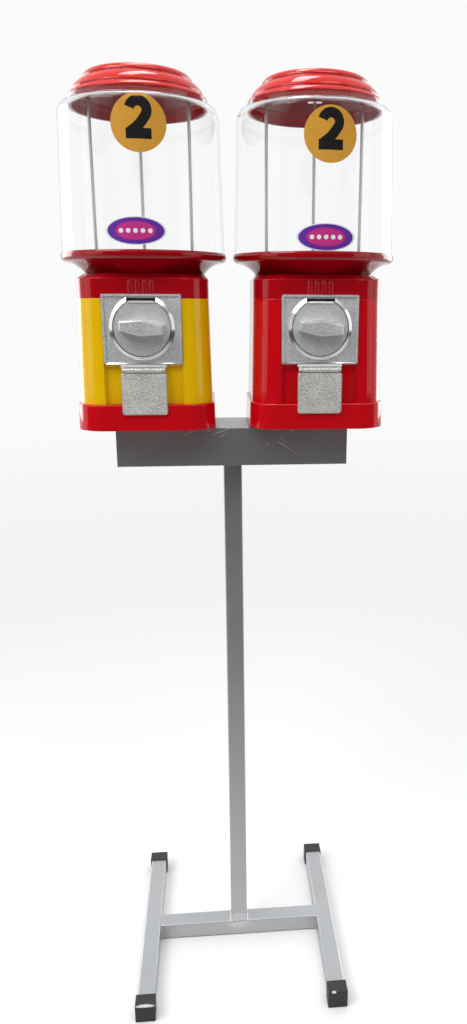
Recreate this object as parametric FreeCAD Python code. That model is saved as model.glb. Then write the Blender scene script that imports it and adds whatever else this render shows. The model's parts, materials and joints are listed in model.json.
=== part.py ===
import FreeCAD, Part
import math
import os
from FreeCAD import Vector

# A pair of coin-operated gumball machines on a square-tube stand, in millimetres.
# X points right, Y points back and Z points up. The floor is Z = 0 and the post
# stands on the origin. Each machine is drawn on its own axis, with the bottom of its
# base at zero, and is then moved to its place on the header.

os.makedirs("parts", exist_ok=True)

# Clearances between moving pieces, in bearings and round parts that pass through holes
MOVING_GAP = 0.3
RUNNING_GAP = 0.06
HOLE_GAP = 0.4

# Stand
TUBE = 25.0
TUBE_WALL = 1.5
TUBE_CORNER = 2.0
FOOT_SPACING = 276.0
FOOT_END = 160.0
CAP_LENGTH = 20.0
CAP_WALL = 1.75
CAP_END = 2.0
CAP_ROUND = 1.5
HEADER_TOP = 831.0
HEADER_DEPTH = 92.0
HEADER_HEIGHT = 50.0
HEADER_MARGIN = 12.5
HEADER_SHEET = 2.0
HEADER_BEND = 1.2
PAD_THICKNESS = 3.0
PAD_MARGIN = 12.0
PAD_INSET = 6.0
BOLT_X = 30.0
BOLT_RADIUS = 3.0
BOLT_GAP = 0.2
BOLT_HEAD = 4.0
BOLT_END = 3.0
NUT_ACROSS = 10.0
NUT_HEIGHT = 5.0
MACHINE_GAP = 9.0

# Body of a machine: base tray, panel and shoulder
BASE_HALF = 86.0
BASE_FRONT_INSET = 0.5
BASE_HEIGHT = 32.0
BASE_CORNER = 36.0
BASE_DRAFT = 1.0
BASE_RIM = 1.6
BASE_FLOOR = 4.0
BASE_WALL = 4.0
BASE_LEDGE = 8.0
LEDGE_THICKNESS = 4.0
ROD_BOSS_RADIUS = 9.0
ROD_BOSS_HEIGHT = 22.0
PANEL_STEP = 3.5
PANEL_TAPER = 2.5
PANEL_HEIGHT = 126.0
PANEL_CORNER = 34.0
PANEL_WALL = 3.0
BAND_HEIGHT = 23.0
SHOULDER_RISE = 6.0
SHOULDER_STEP = 4.0
SHOULDER_CORNER = 60.0
SEAT_WIDTH = 4.0
FLUTES = 4
FLUTE_PITCH = 8.4
FLUTE_RADIUS = 3.4
FLUTE_PROUD = 1.6
FLUTE_DROP = 1.0
FACE_INSET = 0.4
FACE_BACKING = 6.0
FACE_MARGIN = 0.5
BAY_INSET = 2.0
BAY_DEPTH = 2.4
BAY_GAP = 2.6

# Globe, hopper and lid
GLOBE_LOW = 101.3
GLOBE_HIGH = 96.6
GLOBE_HEIGHT = 175.5
GLOBE_WALL = 2.5
GLOBE_SHOULDER = 11.4
NECK_STEP = 11.4
NECK_HEIGHT = 4.6
NECK_WALL = 2.8
GASKET = 2.0
GROOVE_GAP = 0.4
GROOVE_DEPTH = 4.0
FLANGE_LIP = 1.3
FLANGE_RISE = 25.5
FLANGE_EDGE = 6.5
FLANGE_UNDER = 8.0
FLARE_FOOT = 2.0
FLARE_BOW = 0.08
LIP_BOW = 0.09
WELL_RADIUS = 53.0
WELL_WALL = 2.6
WELL_BASE = 2.5
FUNNEL_WALL = 1.7
FUNNEL_RISE = 12.0
LID_INSET = 1.7
LID_WALL = 2.5
SKIRT_DEPTH = 7.0
SKIRT_WALL = 2.4
TIER_LOW = 6.7
TIER_MIDDLE = 14.0
TIER_HIGH = 7.2
TIER_STEP = 4.9
TIER_SLOPE = 12.6
TIER_RISER = 2.2
TIER_BOW = 0.1
BROW_WIDTH = 4.0
LID_CROWN = 1.0

# Rods and lock
ROD_RADIUS = 2.0
ROD_OFFSET = 7.0
ROD_RISE = 13.0
ROD_SOCKET = 6.0
SOCKET_BELOW = 5.0
SOCKET_ABOVE = 10.0
LID_SOCKET = 3.6
SOCKET_ROOT = 0.6
SOCKET_LOW = 4.7
LOCK_RADIUS = 9.0
LOCK_LENGTH = 22.0
COLLAR_WIDTH = 3.0
COLLAR_HEIGHT = 1.5
PLUG_RADIUS = 6.0
PLUG_RECESS = 0.3
KEY_HALF = 0.6
WARD_REACH = 1.4
WARD_HALF = 0.8
KEYWAY_DEPTH = 6.0

# Dispensing wheel and its drive
WHEEL_GAP = 1.0
WHEEL_THICKNESS = 21.0
WHEEL_TEETH = 36
GEAR_TEETH = 12
CROWN_FACE = 4.0
CROWN_INSET = 1.5
FLOOR_GAP = 0.65
POCKETS = 6
POCKET_RADIUS = 12.0
POCKET_EDGE = 3.5
HUB_RADIUS = 10.0
HUB_RISE = 6.0
AGITATOR_RADIUS = 7.0
AGITATOR_HEIGHT = 12.0
FINGER_RADIUS = 2.0
FINGER_LENGTH = 36.0
FINGER_SLOPE = 0.35
COVER_THICKNESS = 3.0
COVER_GAP = 0.8
COVER_SPREAD = 34.0
SHAFT_RADIUS = 4.0
SHAFT_END = 0.6
RATCHET_TEETH = 12
RATCHET_TIP = 13.0
RATCHET_CUT = 2.6
RATCHET_DEPTH = 4.0
PAWL_X = 22.0
PAWL_RISE = 21.0
PAWL_PIN = 2.0
PAWL_EYE = 4.0
PAWL_NOSE = 0.5

# Coin mechanism
KNOB_DROP = 33.6
DISC_RADIUS = 33.9
DISC_FLAT = 2.9
DISC_DEPTH = 5.4
HANDLE_HALF = 26.5
HANDLE_END = 5.6
HANDLE_MIDDLE = 10.0
HANDLE_DEPTH = 15.2
HANDLE_BEVEL = 2.4
HANDLE_TILT = 5.0
RING_WIDTH = 4.7
RING_DEPTH = 3.4
RING_EDGE = 0.8
RING_LAND = 0.6
COIN_SLOT_HALF = 17.5
COIN_SLOT = 3.2
PLATE_MARGIN = 8.0
PLATE_BELOW = 5.4
PLATE_ABOVE = 4.4
PLATE_THICKNESS = 3.0
PLATE_CORNER = 1.5
PLATE_BEVEL = 1.6
PLATE_RIM = 2.6
PLATE_RIM_HEIGHT = 1.2
SCREW_INSET = 5.5
SCREW_FROM_LOW = 10.0
SCREW_FROM_HIGH = 13.0
SCREW_RADIUS = 2.0
SCREW_DEPTH = 1.5
SCREW_HEAD_RADIUS = 3.4
SCREW_HEAD = 2.2
HOUSING_WALL = 2.0
HOUSING_DOWN = 37.9
HOUSING_CLEAR = 4.4
BEARING_RADIUS = 7.0
BEARING_FRONT = 3.0
BEARING_BACK = 5.0
COIN_DROP_HALF = 18.0

# Chute and door
CHUTE_HALF = 24.0
CHUTE_WALL = 1.8
CHUTE_PROUD = 0.3
CHUTE_STEP = 2.6
CHUTE_BELOW_PIN = 4.6
CHUTE_ROOF_RISE = 9.5
CHUTE_LANDING = 7.0
DOOR_OVERLAP = 3.5
DOOR_DROP = 12.0
DOOR_THICKNESS = 2.6
DOOR_CORNER = 3.5
DOOR_BEVEL = 1.4
DOOR_GAP = 0.5
PIN_DROP = 6.0
PIN_RADIUS = 1.5
PIN_FORWARD = 1.7
KNUCKLE_WALL = 1.5
LUG_HALF = 2.0
LUG_WALL = 0.9

# Heights and places that follow from the sizes above, on the machine's own axis
HALF_TUBE = TUBE / 2
FOOT_X = FOOT_SPACING / 2
FOOT_LOW = CAP_WALL
FOOT_HIGH = CAP_WALL + TUBE
BOLT_HOLE = BOLT_RADIUS + BOLT_GAP
BASE_Z = HEADER_TOP + PAD_THICKNESS
BASE_FRONT = BASE_HALF - BASE_FRONT_INSET
ROD_BOSS_TOP = BASE_FLOOR + ROD_BOSS_HEIGHT
PANEL_LOW = BASE_HALF - PANEL_STEP
PANEL_HIGH = PANEL_LOW - PANEL_TAPER
PANEL_TOP = BASE_HEIGHT + PANEL_HEIGHT
SHOULDER_LOW = PANEL_TOP + BAND_HEIGHT
SHOULDER_TOP = SHOULDER_LOW + SHOULDER_RISE
SHOULDER_HALF = PANEL_HIGH - SHOULDER_STEP
SEAT_INNER = SHOULDER_HALF - SEAT_WIDTH
FACE_Y = FACE_INSET - PANEL_HIGH

GROOVE_OUTER = GLOBE_LOW + GROOVE_GAP
GROOVE_INNER = GLOBE_LOW - GLOBE_WALL - GROOVE_GAP
FLANGE_RADIUS = GROOVE_OUTER + FLANGE_LIP
FLANGE_TOP = SHOULDER_TOP + FLANGE_RISE
GROOVE_FLOOR = FLANGE_TOP - GROOVE_DEPTH
GLOBE_BOTTOM = GROOVE_FLOOR + GASKET
NECK_TOP = GLOBE_BOTTOM + GLOBE_HEIGHT
NECK_RADIUS = GLOBE_HIGH - NECK_STEP
NECK_INNER = NECK_RADIUS - NECK_WALL
LID_BASE = NECK_TOP + MOVING_GAP
LID_RADIUS = NECK_RADIUS - LID_INSET
LID_SKIRT = NECK_INNER - MOVING_GAP
LID_TOP = LID_BASE + TIER_LOW + TIER_MIDDLE + TIER_HIGH + LID_CROWN
CEILING = LID_TOP - LID_WALL
SIDE_ROD_X = WELL_RADIUS + ROD_OFFSET
ROD_TOP = NECK_TOP + ROD_RISE
BARREL_LOW = LID_TOP - LOCK_LENGTH
PLUG_FACE = LID_TOP + COLLAR_HEIGHT - PLUG_RECESS
PLUG_LOW = ROD_TOP + HOLE_GAP
MACHINE_X = FLANGE_RADIUS + MACHINE_GAP / 2
HEADER_LENGTH = 2 * (MACHINE_X + BOLT_X + HEADER_MARGIN)

# The gear's pitch circle rolls on the pitch circle of the wheel's crown teeth
KNOB_Z = PANEL_TOP - KNOB_DROP
WHEEL_RADIUS = WELL_RADIUS - WHEEL_GAP
CROWN_RADIUS = WHEEL_RADIUS - CROWN_INSET - CROWN_FACE / 2
GEAR_RADIUS = CROWN_RADIUS * GEAR_TEETH / WHEEL_TEETH
TOOTH_MODULE = 2 * GEAR_RADIUS / GEAR_TEETH
ADDENDUM = 0.7 * TOOTH_MODULE
DEDENDUM = 0.93 * TOOTH_MODULE
TOOTH_TIP_HALF = 0.37 * TOOTH_MODULE
TOOTH_ROOT_HALF = 0.78 * TOOTH_MODULE
PITCH_Z = KNOB_Z + GEAR_RADIUS
WELL_FLOOR = PITCH_Z - ADDENDUM - FLOOR_GAP
WELL_UNDER = WELL_FLOOR - WELL_BASE
DISC_UNDER = PITCH_Z + DEDENDUM
WHEEL_TOP = DISC_UNDER + WHEEL_THICKNESS
HUB_TOP = WHEEL_TOP + HUB_RISE
HUB_BORE = ROD_RADIUS + RUNNING_GAP
POCKET_RING = CROWN_RADIUS - CROWN_FACE / 2 - POCKET_EDGE - POCKET_RADIUS
OUTLET_RADIUS = POCKET_RADIUS + HOLE_GAP
FUNNEL_FOOT = WHEEL_TOP + FUNNEL_RISE
FUNNEL_LOW = FUNNEL_FOOT - FUNNEL_WALL
WELL_OUTER = WELL_RADIUS + WELL_WALL
ROD_SOCKET_LOW = FUNNEL_FOOT - SOCKET_BELOW
ROD_SOCKET_HIGH = FUNNEL_FOOT + SOCKET_ABOVE
GEAR_FRONT = -CROWN_RADIUS - CROWN_FACE / 2
GEAR_BACK = GEAR_FRONT + CROWN_FACE

DISC_BACK = FACE_Y - HOLE_GAP
DISC_FRONT = DISC_BACK - DISC_DEPTH
HANDLE_FRONT = DISC_FRONT - HANDLE_DEPTH
RING_INNER = DISC_RADIUS + HOLE_GAP
RING_OUTER = RING_INNER + RING_WIDTH
SLOT_LOW = KNOB_Z + DISC_RADIUS - DISC_FLAT
SLOT_HIGH = SLOT_LOW + COIN_SLOT
PLATE_HALF = RING_OUTER + PLATE_MARGIN
PLATE_LOW = KNOB_Z - RING_OUTER - PLATE_BELOW
PLATE_HIGH = SLOT_HIGH + PLATE_ABOVE
PLATE_FRONT = FACE_Y - PLATE_THICKNESS
FACE_HALF = PLATE_HALF + FACE_MARGIN
SCREW_X = PLATE_HALF - SCREW_INSET
HOUSING_HALF = SCREW_X - SCREW_INSET
HOUSING_LOW = KNOB_Z - HOUSING_DOWN
HOUSING_HIGH = SLOT_HIGH + HOUSING_WALL + HOLE_GAP
HOUSING_BACK = -WELL_OUTER - HOUSING_CLEAR
RATCHET_FRONT = HOUSING_BACK - HOUSING_WALL - 2 * RATCHET_DEPTH

CHUTE_MOUTH = -BASE_FRONT - CHUTE_PROUD
PIN_Y = CHUTE_MOUTH - PIN_FORWARD
PIN_Z = PLATE_LOW - PIN_DROP
CHUTE_LOW = BASE_HEIGHT + CHUTE_STEP
CHUTE_HIGH = PIN_Z - CHUTE_BELOW_PIN
DOOR_BACK = CHUTE_MOUTH - DOOR_GAP
DOOR_HALF = CHUTE_HALF + DOOR_OVERLAP
DOOR_LOW = BASE_HEIGHT - DOOR_DROP
KNUCKLE_RADIUS = PIN_RADIUS + KNUCKLE_WALL
LUG_RADIUS = PIN_RADIUS + LUG_WALL
LUG_X = CHUTE_HALF

# A cutting tool runs past the face that it opens by this much
PAST = 5.0
# A quarter circle stands out from its chord by this share of the chord's length
QUARTER = (math.sqrt(2) - 1) / 2

X_AXIS = Vector(1, 0, 0)
Y_AXIS = Vector(0, 1, 0)
Z_AXIS = Vector(0, 0, 1)
ORIGIN = Vector(0, 0, 0)


def box(x0, x1, y0, y1, z0, z1):
    return Part.makeBox(x1 - x0, y1 - y0, z1 - z0, Vector(x0, y0, z0))


def rod(radius, start, axis, length):
    return Part.makeCylinder(radius, length, Vector(*start), axis)


def tube_between(outer, inner, start, axis, length):
    return rod(outer, start, axis, length).cut(rod(inner, start, axis, length))


def bowed(start, end, share=QUARTER):
    """Middle and end of an arc that stands out to the right of its chord by a share of its length."""
    across = end[0] - start[0]
    along = end[1] - start[1]
    middle = ((start[0] + end[0]) / 2 + share * along, (start[1] + end[1]) / 2 - share * across)
    return middle, end


def outline(points, plane):
    """Closed wire through points; an entry of two pairs is an arc by its middle to its end."""
    edges = []
    here = points[0]
    for step in points[1:] + [points[0]]:
        if isinstance(step[0], tuple):
            middle, end = step
            edges.append(Part.Arc(plane(*here), plane(*middle), plane(*end)).toShape())
        else:
            end = step
            edges.append(Part.makeLine(plane(*here), plane(*end)))
        here = end
    return Part.Wire(edges)


def turned(points):
    """Solid turned about Z from a profile of radius and height."""
    wire = outline(points, lambda r, z: Vector(r, 0, z))
    return Part.Face(wire).revolve(ORIGIN, Z_AXIS, 360)


def side_prism(points, half_width):
    """Prism along X from a profile of Y and Z."""
    wire = outline(points, lambda y, z: Vector(-half_width, y, z))
    return Part.Face(wire).extrude(Vector(2 * half_width, 0, 0))


def front_prism(points, front, depth):
    """Prism that runs back along Y from a profile of X and Z."""
    wire = outline(points, lambda x, z: Vector(x, front, z))
    return Part.Face(wire).extrude(Vector(0, depth, 0))


def rounded_square(half_x, half_y, corner, z):
    """Closed wire of a rounded rectangle about the axis at height z."""
    ax = half_x - corner
    ay = half_y - corner
    sides = [
        ((-ax, -half_y), (ax, -half_y)), ((half_x, -ay), (half_x, ay)),
        ((ax, half_y), (-ax, half_y)), ((-half_x, ay), (-half_x, -ay)),
    ]
    edges = []
    for i, (start, end) in enumerate(sides):
        middle, stop = bowed(end, sides[(i + 1) % len(sides)][0])
        here, turn, there = (Vector(p[0], p[1], z) for p in (end, middle, stop))
        edges.append(Part.makeLine(Vector(start[0], start[1], z), here))
        edges.append(Part.Arc(here, turn, there).toShape())
    return Part.Wire(edges)


def between(low_wire, high_wire):
    return Part.makeLoft([low_wire, high_wire], True, True)


def square_sleeve(half_low, z_low, half_high, z_high, corner):
    """Solid with a rounded square section that tapers evenly from one height to the other."""
    return between(rounded_square(half_low, half_low, corner, z_low),
                   rounded_square(half_high, half_high, corner, z_high))


def rounded_plate(half, low, high, corner, front, back):
    """Upright plate with round corners, facing the front."""
    wire = rounded_square(half, (high - low) / 2, corner, 0)
    plate = Part.Face(wire).extrude(Vector(0, 0, back - front))
    plate.rotate(ORIGIN, X_AXIS, 90)
    plate.translate(Vector(0, back, (low + high) / 2))
    return plate


def edges_at_y(solid, y):
    return [e for e in solid.Edges if abs(e.CenterOfMass.y - y) < 0.01]


def edges_at_z(solid, z):
    return [e for e in solid.Edges if abs(e.CenterOfMass.z - z) < 0.01]


def edges_along(solid, axis):
    return [e for e in solid.Edges if abs(e.tangentAt(e.FirstParameter).dot(axis)) > 0.9]


def hexagon_nut(across, height, hole, at):
    """Nut, or a bolt's head where the hole is zero, with its lower face at the given point."""
    reach = across / math.sqrt(3)
    corners = []
    for i in range(6):
        a = math.radians(60 * i + 30)
        corners.append(Vector(at[0] + reach * math.cos(a), at[1] + reach * math.sin(a), at[2]))
    nut = Part.Face(Part.makePolygon(corners + corners[:1])).extrude(Vector(0, 0, height))
    if hole > 0:
        nut = nut.cut(rod(hole, at, Z_AXIS, height))
    return nut


def save(name, shape, at=None):
    piece = shape.copy()
    if at:
        piece.translate(Vector(*at))
    piece.exportStep("parts/" + name + ".step")


# Stand

def square_tube(x0, x1, y0, y1, z0, z1, axis):
    """Hollow tube with round long edges, open at both ends along one axis."""
    wall = [TUBE_WALL * (1 - a) for a in axis]
    inner = box(x0 + wall[0], x1 - wall[0], y0 + wall[1], y1 - wall[1], z0 + wall[2], z1 - wall[2])
    solid = box(x0, x1, y0, y1, z0, z1)
    return solid.makeFillet(TUBE_CORNER, edges_along(solid, axis)).cut(inner)


def foot(x):
    reach = FOOT_END - CAP_END
    return square_tube(x - HALF_TUBE, x + HALF_TUBE, -reach, reach, FOOT_LOW, FOOT_HIGH, Y_AXIS)


def crossbar():
    reach = FOOT_X - HALF_TUBE
    return square_tube(-reach, reach, -HALF_TUBE, HALF_TUBE, FOOT_LOW, FOOT_HIGH, X_AXIS)


def post():
    top = HEADER_TOP - HEADER_SHEET
    return square_tube(-HALF_TUBE, HALF_TUBE, -HALF_TUBE, HALF_TUBE, FOOT_HIGH, top, Z_AXIS)


def foot_cap(x, side):
    """Slip-on cap; side is -1 at the front and 1 at the back."""
    reach = HALF_TUBE + CAP_WALL
    back = FOOT_END - CAP_LENGTH
    shell = box(x - reach, x + reach, back, FOOT_END, 0, FOOT_HIGH + CAP_WALL)
    shell = shell.makeFillet(CAP_ROUND, edges_along(shell, Y_AXIS) + edges_at_y(shell, FOOT_END))
    core = box(x - HALF_TUBE, x + HALF_TUBE, back, FOOT_END - CAP_END, FOOT_LOW, FOOT_HIGH)
    cap = shell.cut(core.makeFillet(TUBE_CORNER, edges_along(core, Y_AXIS)))
    if side < 0:
        cap.rotate(Vector(x, 0, 0), Z_AXIS, 180)
    return cap


def bolt_places():
    return [side * MACHINE_X + off for side in (-1, 1) for off in (-BOLT_X, BOLT_X)]


def header():
    """Folded pan, open below, with holes for the machines' bolts."""
    hx = HEADER_LENGTH / 2
    hy = HEADER_DEPTH / 2
    s = HEADER_SHEET
    low = HEADER_TOP - HEADER_HEIGHT
    pan = box(-hx, hx, -hy, hy, low, HEADER_TOP)
    pan = pan.makeFillet(HEADER_BEND, edges_at_z(pan, HEADER_TOP))
    pan = pan.cut(box(-hx + s, hx - s, -hy + s, hy - s, low, HEADER_TOP - s))
    for x in bolt_places():
        pan = pan.cut(rod(BOLT_HOLE, (x, 0, low), Z_AXIS, HEADER_HEIGHT))
    return pan


def base_pad(x):
    half_x = BOLT_X + PAD_MARGIN
    half_y = HEADER_DEPTH / 2 - PAD_INSET
    pad = box(x - half_x, x + half_x, -half_y, half_y, HEADER_TOP, BASE_Z)
    for off in (-BOLT_X, BOLT_X):
        pad = pad.cut(rod(BOLT_HOLE, (x + off, 0, HEADER_TOP), Z_AXIS, PAD_THICKNESS))
    return pad


def mount_bolt(x):
    head_z = BASE_Z + BASE_FLOOR
    low = HEADER_TOP - HEADER_SHEET - NUT_HEIGHT - BOLT_END
    shank = rod(BOLT_RADIUS, (x, 0, low), Z_AXIS, head_z - low)
    return shank.fuse(hexagon_nut(NUT_ACROSS, BOLT_HEAD, 0, (x, 0, head_z)))


def mount_nut(x):
    low = HEADER_TOP - HEADER_SHEET - NUT_HEIGHT
    return hexagon_nut(NUT_ACROSS, NUT_HEIGHT, BOLT_RADIUS, (x, 0, low))


def stand():
    save("stand_foot_left", foot(-FOOT_X))
    save("stand_foot_right", foot(FOOT_X))
    save("stand_crossbar", crossbar())
    save("stand_post", post())
    save("stand_header", header())
    caps = [foot_cap(x, side) for x in (-FOOT_X, FOOT_X) for side in (-1, 1)]
    save("foot_caps", Part.makeCompound(caps))
    save("base_pads", Part.makeCompound([base_pad(x) for x in (-MACHINE_X, MACHINE_X)]))
    save("mount_bolts", Part.makeCompound([mount_bolt(x) for x in bolt_places()]))
    save("mount_nuts", Part.makeCompound([mount_nut(x) for x in bolt_places()]))


# Body of a machine

def base_hollow(inset, low, high):
    """Straight-sided hollow, an even distance inside the tray's wall."""
    half_x = BASE_HALF - BASE_DRAFT - inset
    half_y = BASE_FRONT - inset
    corner = BASE_CORNER - inset
    return between(rounded_square(half_x, half_y, corner, low),
                   rounded_square(half_x, half_y, corner, high))


def base():
    """Tray with a ledge that the panel stands on and a boss for the centre rod."""
    tray = between(rounded_square(BASE_HALF, BASE_FRONT, BASE_CORNER, 0),
                   rounded_square(BASE_HALF - BASE_DRAFT, BASE_FRONT, BASE_CORNER, BASE_HEIGHT))
    tray = tray.makeFillet(BASE_RIM, edges_at_z(tray, BASE_HEIGHT))
    under_ledge = BASE_HEIGHT - LEDGE_THICKNESS
    tray = tray.cut(base_hollow(BASE_WALL, BASE_FLOOR, under_ledge))
    tray = tray.cut(base_hollow(BASE_LEDGE, BASE_FLOOR, BASE_HEIGHT + PAST))
    tray = tray.fuse(rod(ROD_BOSS_RADIUS, (0, 0, BASE_FLOOR), Z_AXIS, ROD_BOSS_HEIGHT))
    tray = tray.cut(rod(ROD_RADIUS, (0, 0, BASE_FLOOR), Z_AXIS, ROD_BOSS_TOP))
    for x in (-BOLT_X, BOLT_X):
        tray = tray.cut(rod(BOLT_HOLE, (x, 0, 0), Z_AXIS, BASE_FLOOR))
    return tray.removeSplitter()


def screw_places():
    heights = (PLATE_LOW + SCREW_FROM_LOW, PLATE_HIGH - SCREW_FROM_HIGH)
    return [(x, z) for x in (-SCREW_X, SCREW_X) for z in heights]


def face_cut(half, low, high, front, back):
    """Upright block that cuts an opening through the front wall."""
    return box(-half, half, front, back, low, high)


def body_panel():
    """Tapered square sleeve with a flat recessed face for the mechanism and a deeper bay for the chute."""
    w = PANEL_WALL
    g = HOLE_GAP
    outer = square_sleeve(PANEL_LOW, BASE_HEIGHT, PANEL_HIGH, PANEL_TOP, PANEL_CORNER)
    inner = square_sleeve(PANEL_LOW - w, BASE_HEIGHT, PANEL_HIGH - w, PANEL_TOP, PANEL_CORNER - w)
    back = FACE_Y + FACE_BACKING
    backing = box(-FACE_HALF - w, FACE_HALF + w, FACE_Y, back, BASE_HEIGHT, PANEL_TOP)
    panel = outer.cut(inner).fuse(backing.common(outer))
    front = -BASE_HALF - PAST
    panel = panel.cut(face_cut(FACE_HALF, BASE_HEIGHT, PANEL_TOP, front, FACE_Y))
    bay_high = PLATE_LOW - BAY_GAP
    panel = panel.cut(face_cut(FACE_HALF - BAY_INSET, BASE_HEIGHT, bay_high, front, FACE_Y + BAY_DEPTH))
    panel = panel.cut(face_cut(HOUSING_HALF + g, HOUSING_LOW - g, PANEL_TOP, front, back + PAST))
    panel = panel.cut(face_cut(CHUTE_HALF + g, CHUTE_LOW - g, CHUTE_HIGH + g, front, back + PAST))
    for x, z in screw_places():
        panel = panel.cut(rod(SCREW_RADIUS, (x, FACE_Y, z), Y_AXIS, FACE_BACKING))
    return panel.removeSplitter()


def body_top():
    """Shoulder between panel and hopper, with fluting above the mechanism."""
    w = PANEL_WALL
    g = HOLE_GAP
    inside_top = SHOULDER_LOW - w
    band = square_sleeve(PANEL_HIGH, PANEL_TOP, PANEL_HIGH, SHOULDER_LOW, PANEL_CORNER)
    slope = between(rounded_square(PANEL_HIGH, PANEL_HIGH, PANEL_CORNER, SHOULDER_LOW),
                    rounded_square(SHOULDER_HALF, SHOULDER_HALF, SHOULDER_CORNER, SHOULDER_TOP))
    top = band.fuse(slope)
    for i in range(FLUTES):
        at = (FLUTE_PITCH * (i - (FLUTES - 1) / 2), FLUTE_RADIUS - FLUTE_PROUD - PANEL_HIGH, PLATE_HIGH + g)
        dome = SHOULDER_LOW - FLUTE_DROP - FLUTE_RADIUS
        top = top.fuse(rod(FLUTE_RADIUS, at, Z_AXIS, dome - at[2]))
        top = top.fuse(Part.makeSphere(FLUTE_RADIUS, Vector(at[0], at[1], dome)))
    half = PANEL_HIGH - w
    inner_half = SHOULDER_HALF - w
    top = top.cut(square_sleeve(half, PANEL_TOP, half, inside_top, PANEL_CORNER - w))
    top = top.cut(between(rounded_square(half, half, PANEL_CORNER - w, inside_top),
                          rounded_square(inner_half, inner_half, SHOULDER_CORNER - w, SHOULDER_TOP - w)))
    top = top.cut(rod(SEAT_INNER, (0, 0, PANEL_TOP), Z_AXIS, SHOULDER_TOP))
    front = -PANEL_HIGH - PAST
    back = FACE_Y + FACE_BACKING + PAST
    top = top.cut(face_cut(HOUSING_HALF + g, PANEL_TOP, HOUSING_HIGH + g, front, back))
    top = top.cut(face_cut(FACE_HALF, PANEL_TOP, PLATE_HIGH + g, front, FACE_Y))
    return top.removeSplitter()


# Hopper, globe, lid and rods

def wheel_housing():
    """Cup that the dispensing wheel turns in, with the outlet and the gear's window in its floor."""
    height = FUNNEL_LOW - WELL_UNDER
    cup = rod(WELL_OUTER, (0, 0, WELL_UNDER), Z_AXIS, height)
    cup = cup.cut(rod(WELL_RADIUS, (0, 0, WELL_FLOOR), Z_AXIS, height))
    cup = cup.cut(rod(ROD_RADIUS, (0, 0, WELL_UNDER), Z_AXIS, WELL_BASE))
    cup = cup.cut(rod(OUTLET_RADIUS, (0, -POCKET_RING, WELL_UNDER), Z_AXIS, WELL_BASE))
    gear_half = math.sqrt((GEAR_RADIUS + ADDENDUM) ** 2 - (WELL_UNDER - KNOB_Z) ** 2) + COVER_GAP
    window = box(-gear_half, gear_half, GEAR_FRONT - COVER_GAP, GEAR_BACK + COVER_GAP,
                 WELL_UNDER, WELL_FLOOR)
    return cup.cut(window).removeSplitter()


def hopper():
    """Funnel on the wheel's housing, with the wide flange that carries the globe."""
    neck = (SEAT_INNER + FLARE_FOOT, SHOULDER_TOP)
    under = (FLANGE_RADIUS - FLANGE_UNDER, FLANGE_TOP - FLANGE_EDGE - GROOVE_DEPTH)
    edge = (FLANGE_RADIUS, FLANGE_TOP - FLANGE_EDGE)
    lip = ((FLANGE_RADIUS + GROOVE_OUTER) / 2, FLANGE_TOP)
    rim = FLANGE_TOP - FUNNEL_WALL
    bowl = turned([
        (WELL_RADIUS, FUNNEL_LOW), (WELL_OUTER, FUNNEL_LOW),
        (SEAT_INNER - RUNNING_GAP, SHOULDER_TOP), neck,
        bowed(neck, under, -FLARE_BOW), bowed(under, edge), bowed(edge, lip, LIP_BOW),
        (GROOVE_OUTER, FLANGE_TOP), (GROOVE_OUTER, GROOVE_FLOOR),
        (GROOVE_INNER, GROOVE_FLOOR), (GROOVE_INNER, rim), (GROOVE_INNER - WELL_WALL, rim),
        (WELL_RADIUS, FUNNEL_FOOT),
    ])
    height = ROD_SOCKET_HIGH - ROD_SOCKET_LOW
    core = rod(WELL_OUTER + RUNNING_GAP, (0, 0, ROD_SOCKET_LOW), Z_AXIS, height)
    for x in (-SIDE_ROD_X, SIDE_ROD_X):
        socket = rod(ROD_SOCKET, (x, 0, ROD_SOCKET_LOW), Z_AXIS, height)
        bowl = bowl.fuse(socket.cut(core))
        bowl = bowl.cut(rod(ROD_RADIUS, (x, 0, ROD_SOCKET_LOW), Z_AXIS, height))
    return bowl.removeSplitter()


def globe_gaskets():
    return [tube_between(GROOVE_OUTER, GROOVE_INNER, (0, 0, GROOVE_FLOOR), Z_AXIS, GASKET)]


def globe():
    """Clear tapered jar, open below, with a round shoulder and a short neck."""
    w = GLOBE_WALL
    neck_foot = NECK_TOP - NECK_HEIGHT
    turn = (GLOBE_HIGH, neck_foot - GLOBE_SHOULDER)
    inner_turn = (GLOBE_HIGH - w, turn[1])
    inner_brow = (NECK_RADIUS, neck_foot - w)
    return turned([
        (GLOBE_LOW - w, GLOBE_BOTTOM), (GLOBE_LOW, GLOBE_BOTTOM), turn,
        bowed(turn, (NECK_RADIUS, neck_foot)), (NECK_RADIUS, NECK_TOP), (NECK_INNER, NECK_TOP),
        (NECK_INNER, neck_foot - w), inner_brow, bowed(inner_brow, inner_turn, -QUARTER),
    ])


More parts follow.
